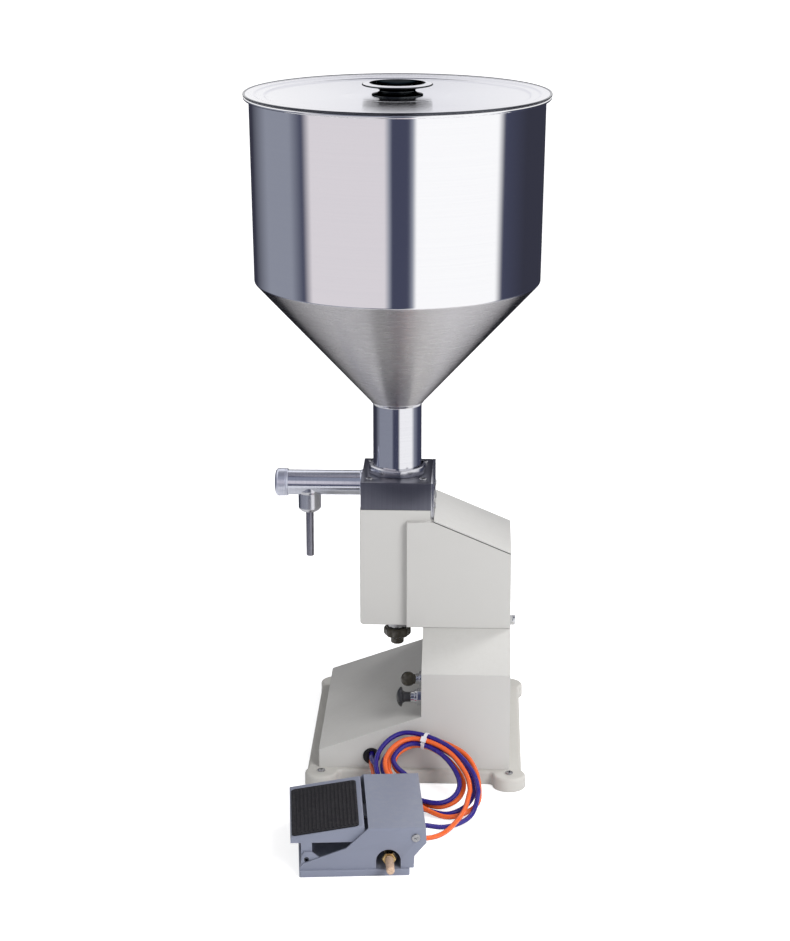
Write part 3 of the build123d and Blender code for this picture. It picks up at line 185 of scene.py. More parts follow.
def bridge(mesh, rings, closed=False, capped=False, index_of=None):
    """Faces from each ring of points to the next. A ring of one point is a pole."""
    steps = max(len(ring) for ring in rings)
    pairs = list(zip(rings, rings[1:]))
    if closed:
        pairs.append((rings[-1], rings[0]))
    for first, second in pairs:
        for s in range(steps):
            order = ((first, s), (first, s + 1), (second, s + 1), (second, s))
            corners = list(dict.fromkeys(ring[place % len(ring)] for ring, place in order))
            if len(corners) > 2:
                face = mesh.faces.new(corners)
                if index_of:
                    face.material_index = index_of(face.calc_center_median())
    if capped:
        mesh.faces.new(rings[-1])
        mesh.faces.new(rings[0])


def add_box(mesh, corners):
    """Six faces on eight corners in mm, of which the last direction changes first."""
    spots = points(mesh, corners)
    for face in ((0, 1, 3, 2), (4, 6, 7, 5), (0, 4, 5, 1), (2, 3, 7, 6), (0, 2, 6, 4), (1, 5, 7, 3)):
        mesh.faces.new([spots[c] for c in face])


def hexagon(turn):
    """How far a hexagon reaches at a turn, as a share of its corners' reach."""
    return cos(pi / 6) / cos(turn % (pi / 3) - pi / 6)


# Shader groups that several finishes share

def build_brushing():
    """Long fine scratches: Stretch squeezes the pattern along each axis, so a large Z gives level
    lines."""
    group, given, result = start_tree(
        "brushing", {"Vector": "Vector", "Stretch": (4, 4, 1500), "Depth": 1.0},
        {"Height": "Float", "Lines": "Float"},
    )
    pulled = add(group, "ShaderNodeVectorMath", given["Vector"], given["Stretch"],
                 operation="MULTIPLY")
    lines = remap(group, noise(group, pulled.outputs[0], 1.0, 5.0, 0.65), 0.3, 0.7)
    feed(group, result["Lines"], lines)
    feed(group, result["Height"], calculate(group, "MULTIPLY", lines, given["Depth"]))
    return group


def build_paint_skin():
    """Sprayed paint: a fine orange peel, faint cloudy shade, and handling marks in the gloss."""
    group, given, result = start_tree(
        "paint_skin", {"Vector": "Vector", "Peel Scale": 900.0, "Cloud Scale": 7.0},
        {"Height": "Float", "Cloud": "Float", "Marks": "Float"},
    )
    feed(group, result["Height"], noise(group, given["Vector"], given["Peel Scale"], 2.0))
    feed(group, result["Cloud"], noise(group, given["Vector"], given["Cloud Scale"], 4.0, 0.55))
    marks = noise(group, given["Vector"], 38.0, 7.0, 0.7)
    feed(group, result["Marks"], remap(group, marks, 0.4, 0.75))
    return group


def build_edge_highlight_mask():
    """A mask of edges for a painted highlight, broken up by noise, from how far the rounded normal
    leaves the flat one.
    """
    group, given, result = start_tree("painted_edge_highlight", {"Vector": "Vector", "Width": 0.0008},
                                      {"Edge": "Float"})
    rounded = add(group, "ShaderNodeBevel", Radius=given["Width"], samples=4)
    flat = add(group, "ShaderNodeNewGeometry")
    match = add(group, "ShaderNodeVectorMath", rounded.outputs["Normal"],
                flat.outputs["True Normal"], operation="DOT_PRODUCT")
    bend = remap(group, match.outputs["Value"], 0.985, 0.80)
    broken = remap(group, noise(group, given["Vector"], 260.0, 4.0), 0.35, 0.65)
    feed(group, result["Edge"], calculate(group, "MULTIPLY", bend, broken))
    return group


def build_settled_dust():
    """A mask of dust and fingermarks that lies on faces which look up."""
    group, given, result = start_tree("settled_dust", {"Vector": "Vector", "Grain": 160.0},
                                      {"Dust": "Float"})
    facing = add(group, "ShaderNodeNewGeometry")
    parts = add(group, "ShaderNodeSeparateXYZ", facing.outputs["Normal"])
    upward = remap(group, parts.outputs["Z"], 0.2, 1.0)
    patch = remap(group, noise(group, given["Vector"], given["Grain"], 6.0, 0.75), 0.45, 0.8)
    feed(group, result["Dust"], calculate(group, "MULTIPLY", upward, patch))
    return group


BRUSHING = build_brushing()
PAINT_SKIN = build_paint_skin()
EDGE_HIGHLIGHT = build_edge_highlight_mask()
SETTLED_DUST = build_settled_dust()


# Materials: colours as a picture shows them, 0 to 255, and depths of relief in micrometres

MICRON = 1e-6


def start_material(name, **settings):
    """A material whose even values sit on the shader's own sockets."""
    material = bpy.data.materials.new(name)
    material.use_nodes = True
    tree = material.node_tree
    into = tree.nodes["Principled BSDF"].inputs
    for key, value in settings.items():
        into[key.replace("_", " ")].default_value = value
    return material, tree, into, add(tree, "ShaderNodeTexCoord").outputs["Object"]


def place_group(tree, group, place, **settings):
    return add(tree, "ShaderNodeGroup", node_tree=group, Vector=place, **settings).outputs


def steel(name, colour, darker, rough, stretch, depth, sheet_wave=0, streak=0.0, rim=1.0):
    """Stainless steel with fine lines: sheet_wave bends its reflections, streak draws them up the axis,
    and rim is how bright it stays where it is seen from the side."""
    material, tree, into, place = start_material(
        name, Metallic=1.0, Anisotropic=streak, Anisotropic_Rotation=0.25,
        Specular_Tint=(rim, rim, rim, 1.0),
    )
    lines = place_group(tree, BRUSHING, place, Stretch=stretch)
    tone = mix(tree, lines["Lines"], shade(*colour), shade(*darker))
    feed(tree, into["Base Color"], tone)
    mixed = calculate(tree, "MULTIPLY", noise(tree, place, 9.0, 4.0), lines["Lines"])
    feed(tree, into["Roughness"], remap(tree, mixed, 0, 1, *rough))
    if streak:
        around = add(tree, "ShaderNodeTangent", direction_type="RADIAL", axis="Z")
        feed(tree, into["Tangent"], around.outputs["Tangent"])
    under = {}
    if sheet_wave:
        under["Normal"] = bump(tree, noise(tree, place, 6.0, 2.0, 0.4), sheet_wave * MICRON)
    feed(tree, into["Normal"], bump(tree, lines["Height"], depth * MICRON, **under))
    return material


def coat(name, colour, second, rough, grain, depth, cloud, dust, highlight_colour=None, **settings):
    """Two close tones in clouds, an even grain and marks in the gloss, dust as (grain, share, colour)
    and, where highlight_colour is a colour, a painted highlight along the edges."""
    material, tree, into, place = start_material(name, **settings)
    skin = place_group(tree, PAINT_SKIN, place, Peel_Scale=grain, Cloud_Scale=cloud)
    settled = place_group(tree, SETTLED_DUST, place, Grain=dust[0])["Dust"]
    tone = mix(tree, skin["Cloud"], shade(*colour), shade(*second))
    tone = mix(tree, calculate(tree, "MULTIPLY", settled, dust[1]), tone, shade(*dust[2]))
    # A lighter colour on the edges: a painted highlight where light catches them
    if highlight_colour:
        edge = place_group(tree, EDGE_HIGHLIGHT, place)["Edge"]
        tone = mix(tree, calculate(tree, "MULTIPLY", edge, 0.4), tone, shade(*highlight_colour))
    feed(tree, into["Base Color"], tone)
    feed(tree, into["Roughness"], remap(tree, skin["Marks"], 0, 1, *rough))
    feed(tree, into["Normal"], bump(tree, skin["Height"], depth * MICRON))
    return material


def paint(name, colour, cloudy, highlight_colour, rough, peel=900.0, depth=20):
    """Sprayed paint on sheet metal, with a painted highlight on its edges and dust on top."""
    return coat(name, colour, cloudy, rough, peel, depth, 7.0, (160.0, 0.16, (176, 170, 160)), highlight_colour,
                Coat_Weight=0.12, Coat_Roughness=0.3, Specular_IOR_Level=0.35)


def plastic(name, colour, lighter, rough, grain=700.0, depth=10, **settings):
    """Moulded plastic or rubber with a fine grain."""
    return coat(name, colour, lighter, rough, grain, depth, 30.0, (300.0, 0.12, (140, 136, 130)),
                **settings)


MIRROR_STEEL = steel("mirror_steel", (247, 247, 249), (244, 244, 247), (0.05, 0.09), (4, 4, 1500), 0.3,
                     sheet_wave=300)
CONE_STEEL = steel("cone_steel", (224, 222, 224), (208, 206, 209), (0.26, 0.34), (60, 60, 1500), 3,
                   streak=0.8, rim=0.05)
NECK_STEEL = steel("neck_steel", (236, 236, 240), (226, 226, 232), (0.07, 0.15), (8, 8, 2400), 1)
BLOCK_STEEL = steel("block_steel", (118, 119, 130), (108, 109, 121), (0.28, 0.38), (1800, 6, 6), 2)
NUT_STEEL = steel("nut_steel", (226, 226, 231), (208, 208, 215), (0.18, 0.28), (10, 10, 1600), 2)
OUTLET_STEEL = steel("outlet_steel", (238, 240, 250), (218, 221, 234), (0.14, 0.26), (2600, 8, 8), 2)
CAP_STEEL = steel("cap_steel", (244, 246, 255), (228, 231, 248), (0.34, 0.46), (1400, 20, 20), 4)
NOZZLE_STEEL = steel("nozzle_steel", (156, 155, 166), (138, 137, 148), (0.18, 0.32), (10, 10, 2600), 2)
LID_STEEL = steel("lid_steel", (240, 240, 243), (232, 232, 237), (0.16, 0.24), (14, 700, 30), 0.6,
                  sheet_wave=200, streak=0.35)
# Dark steel: on the lid's rolled edge it is a painted reflection of a dark line
RIM_STEEL = steel("rim_steel", (88, 90, 97), (74, 76, 83), (0.12, 0.24), (30, 30, 900), 1)
# Dark steel for the lid knob's hollow and waist: a painted reflection of dark surroundings
GRIP_STEEL = steel("grip_steel", (84, 88, 90), (70, 73, 76), (0.1, 0.2), (30, 30, 1400), 1, rim=0.1)
TURNED_STEEL = steel("turned_steel", (206, 206, 208), (182, 182, 186), (0.22, 0.36), (40, 40, 1800), 3)
CHROME = steel("chrome", (235, 236, 238), (220, 221, 224), (0.05, 0.12), (300, 300, 300), 0.6)
SCREW_STEEL = steel("screw_steel", (204, 204, 206), (160, 160, 164), (0.2, 0.38), (900, 900, 900), 4)
SPRING_STEEL = steel("spring_steel", (176, 176, 178), (140, 140, 144), (0.25, 0.4), (800, 800, 800), 3)
BORE_METAL = steel("bore_metal", (200, 202, 204), (176, 178, 180), (0.3, 0.45), (30, 30, 1200), 3)
PLAIN_BRASS = steel("plain_brass", (226, 196, 140), (200, 168, 112), (0.22, 0.36), (500, 500, 500), 4)

# The third colour of each paint is lighter: a painted highlight on its edges
MACHINE_PAINT = paint("machine_paint", (204, 203, 200), (199, 198, 196), (218, 217, 214), (0.4, 0.54))
SLAB_PAINT = paint("slab_paint", (203, 201, 196), (197, 195, 190), (218, 216, 212), (0.46, 0.6),
                   650.0, 40)
PEDAL_PAINT = paint("pedal_paint", (138, 143, 161), (130, 135, 153), (186, 190, 204), (0.34, 0.5),
                    520.0, 50)

BLACK_PLASTIC = plastic("black_plastic", (34, 34, 38), (46, 46, 50), (0.22, 0.4))
BALL_PLASTIC = plastic("ball_plastic", (58, 54, 44), (74, 69, 58), (0.16, 0.3),
                       Coat_Weight=0.4, Coat_Roughness=0.1)
BLACK_RUBBER = plastic("black_rubber", (24, 24, 28), (34, 33, 37), (0.46, 0.62), 1500.0, 30,
                       Specular_IOR_Level=0.3)
SEAL_RUBBER = plastic("seal_rubber", (50, 50, 52), (62, 62, 64), (0.5, 0.7), 1200.0, 20)
BLUE_TUBE = plastic("blue_tube", (40, 24, 138), (32, 16, 116), (0.2, 0.34), 300.0,
                    Coat_Weight=0.35, Coat_Roughness=0.12)
ORANGE_TUBE = plastic("orange_tube", (246, 112, 46), (230, 92, 34), (0.2, 0.34), 300.0,
                      Coat_Weight=0.35, Coat_Roughness=0.12)
WHITE_NYLON = plastic("white_nylon", (236, 234, 238), (222, 220, 226), (0.3, 0.46))


def build_sintered_brass():
    """Pressed bronze grains, tan and open, as on an air silencer."""
    material, tree, into, place = start_material("sintered_brass", Metallic=0.1)
    grains = add(tree, "ShaderNodeTexVoronoi", Vector=place, Scale=1400.0).outputs["Distance"]
    spread = noise(tree, place, 300.0, 5.0)
    tone = mix(tree, spread, shade(255, 228, 204), shade(236, 200, 170))
    # Darker in the low gaps between the grains: painted shade in the recesses
    feed(tree, into["Base Color"], mix(tree, grains, tone, shade(184, 152, 126)))
    feed(tree, into["Roughness"], remap(tree, spread, 0, 1, 0.35, 0.6))
    height = calculate(tree, "SUBTRACT", 1.0, grains)
    feed(tree, into["Normal"], bump(tree, height, 300 * MICRON, Strength=0.8))
    return material


SINTERED_BRASS = build_sintered_brass()


# Lights, floor and the studio wall that only polished metal sees

FLOOR_TONE = (0.82, 0.82, 0.83, 1.0)
FLOOR_LIFT = 0.68
FLOOR_DROP = 0.0004
FLOOR_FRONT = -9.0
FLOOR_BACK = 3.6
FLOOR_HALF = 7.0
FLOOR_TOP = 7.0
SWEEP_R = 1.4
WORLD_LIGHT = 0.36


def start_stage_material(name):
    """A material with an empty tree and its output's surface socket."""
    material = bpy.data.materials.new(name)
    material.use_nodes = True
    tree = material.node_tree
    tree.nodes.clear()
    return material, tree, add(tree, "ShaderNodeOutputMaterial").inputs["Surface"]


def build_floor_material():
    """A pale floor that keeps the shadow and goes white for the camera."""
    material, tree, surface = start_stage_material("studio_floor")
    seen = add(tree, "ShaderNodeLightPath").outputs["Is Camera Ray"]
    matt = add(tree, "ShaderNodeBsdfDiffuse", Color=FLOOR_TONE)
    glow = add(tree, "ShaderNodeEmission", Color=WHITE,
               Strength=calculate(tree, "MULTIPLY", seen, FLOOR_LIFT))
    both = add(tree, "ShaderNodeAddShader", matt.outputs[0], glow.outputs[0])
    feed(tree, surface, both.outputs[0])
    return material


def build_floor():
    """A level floor that sweeps up behind the machine."""
    mesh = bmesh.new()
    bend = FLOOR_BACK - SWEEP_R
    sweep = [(FLOOR_FRONT, 0.0), (bend, 0.0)]
    for step in range(1, 13):
        turn = radians(90 * step / 12)
        sweep.append((bend + SWEEP_R * sin(turn), SWEEP_R * (1 - cos(turn))))
    sweep.append((FLOOR_BACK, FLOOR_TOP))
    left = [mesh.verts.new((-FLOOR_HALF, y, z - FLOOR_DROP)) for y, z in sweep]
    right = [mesh.verts.new((FLOOR_HALF, y, z - FLOOR_DROP)) for y, z in sweep]
    for step in range(len(sweep) - 1):
        face = mesh.faces.new((left[step], right[step], right[step + 1], left[step + 1]))
        face.smooth = True
    from_mesh("studio_floor", mesh, build_floor_material())


# Plain panels round the studio, as turns from the camera's side (+ to the right): those at the height
# that the hopper mirrors, those low down for the neck and the block, and those high up for the lid
DUSK = shade(54, 55, 68)
NAVY = shade(67, 70, 90)
SLATE = shade(138, 142, 155)
PEARL = shade(218, 213, 217)
PALE = shade(232, 232, 237)
WHITE = shade(255, 255, 255)
MIDDLE_PANELS = [
    (-180, DUSK), (-141, DUSK), (-110, SLATE), (-82, SLATE), (-69.5, NAVY), (-62, PEARL), (-7, PEARL),
    (-3.5, SLATE), (-1.5, NAVY), (9.5, NAVY), (12.5, SLATE), (15.5, WHITE), (78, WHITE), (85, NAVY),
    (112, DUSK), (180, DUSK),
]
LOW_PANELS = [
    (-180, DUSK), (-118, DUSK), (-86, SLATE), (-24, SLATE), (-15, NAVY), (6, NAVY), (15, WHITE),
    (72, WHITE), (88, SLATE), (116, NAVY), (180, DUSK),
]
HIGH_PANELS = [
    (-180, PALE), (-160, WHITE), (-80, WHITE), (-50, SLATE), (8, SLATE), (26, WHITE), (160, WHITE),
    (180, PALE),
]
# The wall's bands of panels above the low ones, and the heights between which each takes over
HIGHER_PANELS = ((MIDDLE_PANELS, 0.2, 0.34), (HIGH_PANELS, 0.62, 0.7),
                 (((-180, NAVY), (180, NAVY)), 1.4, 2.0))
WALL_GLOW = 1.03
WALL_R = 0.75
WALL_LEVELS = (2.4, 1.6, 0.8, 0.4, 0.002)


def ramp(tree, around, panels):
    """A colour ramp from (degrees, colour) panels, by a full turn from 0 to 1."""
    node = add(tree, "ShaderNodeValToRGB", around)
    elements = node.color_ramp.elements
    while len(elements) < len(panels):
        elements.new(0.5)
    for element, (degrees, colour) in zip(elements, panels):
        element.position = (degrees + 180) / 360
        element.color = colour
    return node.outputs["Color"]


def build_wall_material():
    """Bands of dark and light by direction, which differ with the height."""
    material, tree, surface = start_stage_material("studio_wall")
    place = add(tree, "ShaderNodeTexCoord").outputs["Object"]
    parts = add(tree, "ShaderNodeSeparateXYZ", place).outputs
    back = calculate(tree, "MULTIPLY", parts["Y"], -1.0)
    around = remap(tree, calculate(tree, "ARCTAN2", parts["X"], back), -pi, pi)
    colour = ramp(tree, around, LOW_PANELS)
    for panels, start, end in HIGHER_PANELS:
        rise = remap(tree, parts["Z"], start, end)
        colour = mix(tree, rise, colour, ramp(tree, around, panels))
    glow = add(tree, "ShaderNodeEmission", Color=colour, Strength=WALL_GLOW)
    feed(tree, surface, glow.outputs[0])
    return material


def build_wall():
    """A closed drum round the machine that only glossy rays see."""
    mesh = bmesh.new()
    rings = []
    for level in WALL_LEVELS:
        spots = [(WALL_R * sin(turn), -WALL_R * cos(turn), level) for turn in turns(96)]
        rings.append([mesh.verts.new(spot) for spot in spots])
    bridge(mesh, rings)
    mesh.faces.new(rings[0])
    wall = from_mesh("studio_wall", mesh, build_wall_material())
    for rays in ("camera", "diffuse", "transmission", "volume_scatter", "shadow"):
        setattr(wall, "visible_" + rays, False)


def add_lamp(name, place, aim, size, power):
    data = bpy.data.lights.new(name, "AREA")
    data.shape = "DISK"
    data.size = size
    data.energy = power
    lamp = new_object(name, data)
    lamp.location = place
    lamp.rotation_euler = (Vector(aim) - Vector(place)).to_track_quat("-Z", "Y").to_euler()
    lamp.visible_glossy = False
    lamp.visible_camera = False


def build_world():
    """White for the camera and for metal, a soft grey as light."""
    world = bpy.data.worlds.new("studio_world")
    scene.world = world
    world.use_nodes = True
    tree = world.node_tree
    background = tree.nodes["Background"].inputs
    background["Color"].default_value = WHITE
    path = add(tree, "ShaderNodeLightPath").outputs
    seen = calculate(tree, "MAXIMUM", path["Is Camera Ray"], path["Is Glossy Ray"])
    seen = calculate(tree, "MAXIMUM", seen, path["Is Transmission Ray"])
    feed(tree, background["Strength"], remap(tree, seen, 0, 1, WORLD_LIGHT, 1))


build_floor()
build_wall()
build_world()
add_lamp("key_lamp", (1.9, -2.2, 2.3), (0.0, 0.0, 0.35), 1.8, 76)
add_lamp("front_lamp", (-0.5, -3.2, 1.2), (0.0, 0.0, 0.3), 1.6, 18)
add_lamp("edge_lamp", (1.5, 0.9, 1.7), (0.05, 0.0, 0.2), 0.8, 22)


# Making and dressing pieces

def settle(piece, slot, *nodes, body="machine"):
    """Attaches a piece to its body and hides the imported nodes that it stands for."""
    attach(piece, body)
    if nodes:
        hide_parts(*nodes)


def eased(outline, steps=5):
    """Rounds an outline's corners: points are (across, along) or (across, along, rounding), in mm."""
    result = []
    count = len(outline)
    for i, point in enumerate(outline):
        here = Vector(point[:2])
        rounding = point[2] if len(point) > 2 else 0.0
        if rounding == 0.0:
            result.append(here)
            continue
        before = Vector(outline[i - 1][:2])
        after = Vector(outline[(i + 1) % count][:2])
        start = here + (before - here).normalized() * min(rounding, 0.45 * (before - here).length)
        end = here + (after - here).normalized() * min(rounding, 0.45 * (after - here).length)
        for step in range(steps + 1):
            t = step / steps
            result.append(start * (1 - t) ** 2 + here * 2 * t * (1 - t) + end * t * t)
    return result


def held_flat(outline, closed):
    """Adds a point just inside each end of a long straight, so that soft shading stays in corners."""
    result = []
    count = len(outline)
    for i, here in enumerate(outline):
        result.append(here)
        if i + 1 == count and not closed:
            break
        run = outline[(i + 1) % count] - here
        if run.length > 1.2:
            step = run.normalized() * min(0.3, run.length * 0.2)
            result.append(here + step)
            result.append(here + run - step)
    return result


def turned(name, slot, node, outline, *materials, body="machine", steps=96, seat=Matrix(), wave=None,
           index_of=None):
    """A piece turned about the seat's Z axis from an outline of (radius, height) in mm, which stands
    for a node. An outline that starts on the axis is open there."""
    mesh = bmesh.new()
    closed = outline[0][0] > 0
    rings = []
    for radius, height in held_flat(eased(outline), closed):
        if radius < 1e-6:
            rings.append(points(mesh, [(0, 0, height)], seat))
            continue
        rings.append(circle(mesh, steps, height,
                            lambda turn: radius * (wave(turn, radius) if wave else 1.0), seat))
    bridge(mesh, rings, closed=closed, index_of=index_of)
    settle(finish_mesh(name, mesh, *materials), slot, node, body=body)


def flats(least, share=1.0, lift=0.0):
    """Six flats for an outline where its radius is at least this much."""
    return lambda turn, radius: min(1.0, share * hexagon(turn) + lift) if radius >= least else 1.0


def along(axis, place):
    """A seat whose Z axis points along a direction, at a place in mm."""
    turn = Vector(axis).to_track_quat("Z", "Y").to_matrix().to_4x4()
    return Matrix.Translation(Vector(place) * MM) @ turn


def dressed(node, slot, material, bevel, segments=3, body="machine"):
    """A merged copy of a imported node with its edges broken, which stands for the node."""
    mesh = bmesh.new()
    mesh.from_mesh(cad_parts[node].data)
    bmesh.ops.remove_doubles(mesh, verts=mesh.verts, dist=2e-6)
    bmesh.ops.dissolve_limit(mesh, angle_limit=radians(0.6), verts=mesh.verts, edges=mesh.edges)
    for face in mesh.faces:
        face.smooth = True
    piece = from_mesh(node + "_skin", mesh, material)
    broken = piece.modifiers.new("broken_edges", "BEVEL")
    broken.width = bevel * MM
    broken.segments = segments
    broken.limit_method = "ANGLE"
    broken.angle_limit = radians(28)
    broken.harden_normals = True
    broken.use_clamp_overlap = True
    settle(piece, slot, node, body=body)


# Hopper, neck and lid

CONE_TOP = 0.5066
LID_EDGE_R = 0.1536


def steel_by_place(centre):
    """The cylinder and its rolled edge are polished, and the cone under them is satin."""
    return 1 if centre.z < CONE_TOP else 0


def lid_rim_reflection_by_place(centre):
    """The lid's rolled edge takes the dark rim steel, a painted reflection for the dark line along it.
    """
    return 1 if hypot(centre.x, centre.y) > LID_EDGE_R else 0


def grip_reflection_by_place(centre):
    """The top of the grip's brim is brighter than its hollow and its waist: bright and dark steel as
    painted reflections.
    """
    return 1 if centre.z > 0.706 and 0.0285 < hypot(centre.x, centre.y) < 0.0345 else 0


turned("hopper_skin", "polished_steel", "hopper_shell", [
    (25.4, 378), (145.5, 507, 1.2), (148.5, 690), (148.5, 696, 0.8), (154, 696, 1), (155.5, 695, 0.9),
    (155.5, 693.2, 0.9), (154.3, 692, 0.7), (153.1, 693, 0.5), (153.1, 694.5, 0.3),
    (150.6, 694.5, 0.4), (150, 693.9), (150, 690), (147, 506.4, 1.2), (27.4, 377.4), (25.4, 377.4),
], MIRROR_STEEL, CONE_STEEL, steps=256, index_of=steel_by_place)
turned("neck_skin", "polished_steel", "hopper_neck", [
    (23.9, 286), (25.4, 286, 0.3), (25.4, 374.4), (26, 375.4, 0.5), (27.9, 377.6, 0.6),
    (27, 378.6, 0.3), (25, 379), (23.9, 379),
], NECK_STEEL, steps=128)
dressed("neck_ring_nut", "polished_steel", NUT_STEEL, 0.35)
turned("lid_skin", "polished_steel", "lid", [
    (0, 693.3), (133, 693.3, 1), (136, 694.8, 0.8), (144, 694.8, 0.8), (146, 696, 0.6),
    (155.2, 696, 0.4), (156, 696.6, 0.4), (156, 697.8, 0.5), (154.9, 698.2, 0.5), (153.2, 697.3, 0.6),
    (145.2, 697.2, 1), (142.8, 696, 1), (135.2, 696, 1), (132.8, 694.5, 1.2), (100, 694.4),
    (53.4, 694.5, 1.2), (50.6, 695.2, 1.2), (0, 695.2),
], LID_STEEL, RIM_STEEL, body="lid_set", steps=256, index_of=lid_rim_reflection_by_place)
turned("lid_grip", "polished_steel", "lid_knob", [
    (0, 695.2), (26, 695.2, 0.4), (26, 696.2, 0.5), (21, 697.2, 2), (17.4, 699.8, 2.2),
    (20.5, 702, 2.5), (28, 703.9, 3), (35.2, 705, 0.8), (36, 705.6, 0.4), (35.6, 706.4, 0.4),
    (30, 707.6, 1), (28, 707.4, 0.8), (22.5, 705, 3), (15, 702.8, 3), (9, 702.3, 1.5), (5, 702.2),
    (4.4, 701.6), (0, 701.6),
], GRIP_STEEL, LID_STEEL, body="lid_set", steps=128, index_of=grip_reflection_by_place)

# Valve block and outlet

dressed("valve_block", "block_metal", BLOCK_STEEL, 0.3)
dressed("end_plate", "satin_steel", NUT_STEEL, 1.3, segments=4)

outlet_seat = along((-1, 0, 0), (0, 0, 287.5))
turned("outlet_skin", "polished_steel", "outlet_tube", [
    (11.3, 36.6), (13.9, 36.6, 0.3), (13.9, 38, 0.6), (13.1, 38.8, 0.3), (13.1, 119, 0.2), (11.3, 119),
], OUTLET_STEEL, steps=128, seat=outlet_seat)
turned("outlet_cap_skin", "satin_steel", "outlet_cap", [
    (0, 119), (13, 119), (13.1, 115), (13.9, 115, 0.3), (14.6, 115.9, 0.5), (14.6, 116.9, 0.2),
    (14.1, 117.2, 0.2), (14.1, 117.6, 0.2), (14.6, 117.9, 0.2), (14.6, 126.2, 1.6), (12, 128.2, 1.6),
    (8, 129, 1.5), (0, 129),
], CAP_STEEL, steps=128, seat=outlet_seat)

nozzle_seat = along((0, 0, 1), (-92.7, 0, 0))
turned("nozzle_boss", "polished_steel", "nozzle_holder", [
    (3.75, 256.5), (8.9, 256.5, 0.5), (11.9, 259.5, 1), (11.9, 276.5), (12.6, 279, 0.8), (12.4, 284),
    (3.75, 284),
], NUT_STEEL, seat=nozzle_seat)
turned("nozzle_skin", "polished_steel", "nozzle", [
    (3.1, 206.5), (3.7, 206.5, 0.2), (4.1, 207, 0.3), (4.1, 256.6), (3.7, 256.7), (3.7, 268.4),
    (3.1, 268.4),
], NOZZLE_STEEL, steps=64, seat=nozzle_seat)

# Pieces grown by Geometry Nodes

def finish_tree(tree, given, result, pieces):
    """Makes a tree's instances real and gives them their finish."""
    real = add(tree, "GeometryNodeRealizeInstances", Geometry=pieces)
    coated = add(tree, "GeometryNodeSetMaterial", Geometry=real.outputs["Geometry"],
                 Material=given["Finish"])
    feed(tree, result["Geometry"], coated.outputs["Geometry"])
    return tree


def grown(piece, tree, **values):
    """Runs a tree on a piece with values for its named inputs, and keeps the result as a plain mesh."""
    modifier = piece.modifiers.new(tree.name, "NODES")
    modifier.node_group = tree
    for item in tree.interface.items_tree:
        if item.item_type == "SOCKET" and item.in_out == "INPUT" and item.name in values:
            modifier[item.identifier] = values[item.name]
    graph = bpy.context.evaluated_depsgraph_get()
    data = bpy.data.meshes.new_from_object(piece.evaluated_get(graph))
    piece.modifiers.clear()
    piece.data = data
    for face in data.polygons:
        face.use_smooth = False
    return piece


# Screws: one tree sets a head on each given point

MOST_SPIN = 1.5


def screw_head(name, radius, height, cross=False):
    """A screw head that stands on Z, with a hexagon or cross recess cut by its own faces."""
    def recess(turn):
        if cross:
            return radius * (0.14 + 0.32 * abs(cos(2 * turn)) ** 3)
        return radius * 0.42 * hexagon(turn)

    mesh = bmesh.new()
    rings = [
        circle(mesh, 24, height * level, lambda turn: radius * share)
        for share, level in ((1, 0), (1, 0.55), (0.93, 0.85), (0.8, 1), (0.5, 1))
    ]
    rings.append(circle(mesh, 24, height, recess))
    rings.append(circle(mesh, 24, height * 0.25, lambda turn: 0.94 * recess(turn)))
    bridge(mesh, rings, capped=True)
    return finish_mesh(name, mesh, SCREW_STEEL, smooth=False)


def build_screw_tree():
    """Sets a head on each point, turned about its own axis by a seeded amount."""
    tree, given, result = start_tree(
        "set_screws",
        {"Geometry": "Geometry", "Head": "Object", "Lean": "Rotation", "Finish": "Material", "Seed": 3},
        {"Geometry": "Geometry"}, "GeometryNodeTree",
    )
    head = add(tree, "GeometryNodeObjectInfo", Object=given["Head"])
    spin = add(tree, "FunctionNodeRandomValue", data_type="FLOAT", Seed=given["Seed"])
    spin.inputs[3].default_value = MOST_SPIN
    around = add(tree, "ShaderNodeCombineXYZ", Z=spin.outputs[1])
    own = add(tree, "FunctionNodeEulerToRotation", around.outputs[0])
    both = add(tree, "FunctionNodeRotateRotation", given["Lean"], own.outputs[0],
               rotation_space="LOCAL")
    setting = add(tree, "GeometryNodeInstanceOnPoints", Points=given["Geometry"],
                  Instance=head.outputs["Geometry"], Rotation=both.outputs[0])
    return finish_tree(tree, given, result, setting.outputs["Instances"])


SCREW_TREE = build_screw_tree()


def screws(name, places, head, axis, seed):
    """Heads at places in mm, standing on an axis, as one plain piece."""
    data = bpy.data.meshes.new(name)
    data.from_pydata([Vector(p) * MM for p in places], [], [])
    return grown(new_object(name, data), SCREW_TREE, Head=head, Finish=SCREW_STEEL, Seed=seed,
                 Lean=Vector(axis).to_track_quat("Z", "Y").to_euler())


def welded(name, *pieces):
    """Joins plain pieces into one."""
    mesh = bmesh.new()
    materials = list(pieces[0].data.materials)
    for piece in pieces:
        mesh.from_mesh(piece.data)
        bpy.data.objects.remove(piece)
    return from_mesh(name, mesh, *materials)


# The foot valve's frame, as in the solids: u runs along the treadle, v across it

PEDAL_PLACE = (-80.5, -350.0)
PEDAL_YAW = radians(4.9)


def pedal_point(u, v, z):
    """A point of the foot valve in the machine's frame, in mm."""
    x = PEDAL_PLACE[0] + u * cos(PEDAL_YAW) - v * sin(PEDAL_YAW)
    y = PEDAL_PLACE[1] + u * sin(PEDAL_YAW) + v * cos(PEDAL_YAW)
    return (x, y, z)


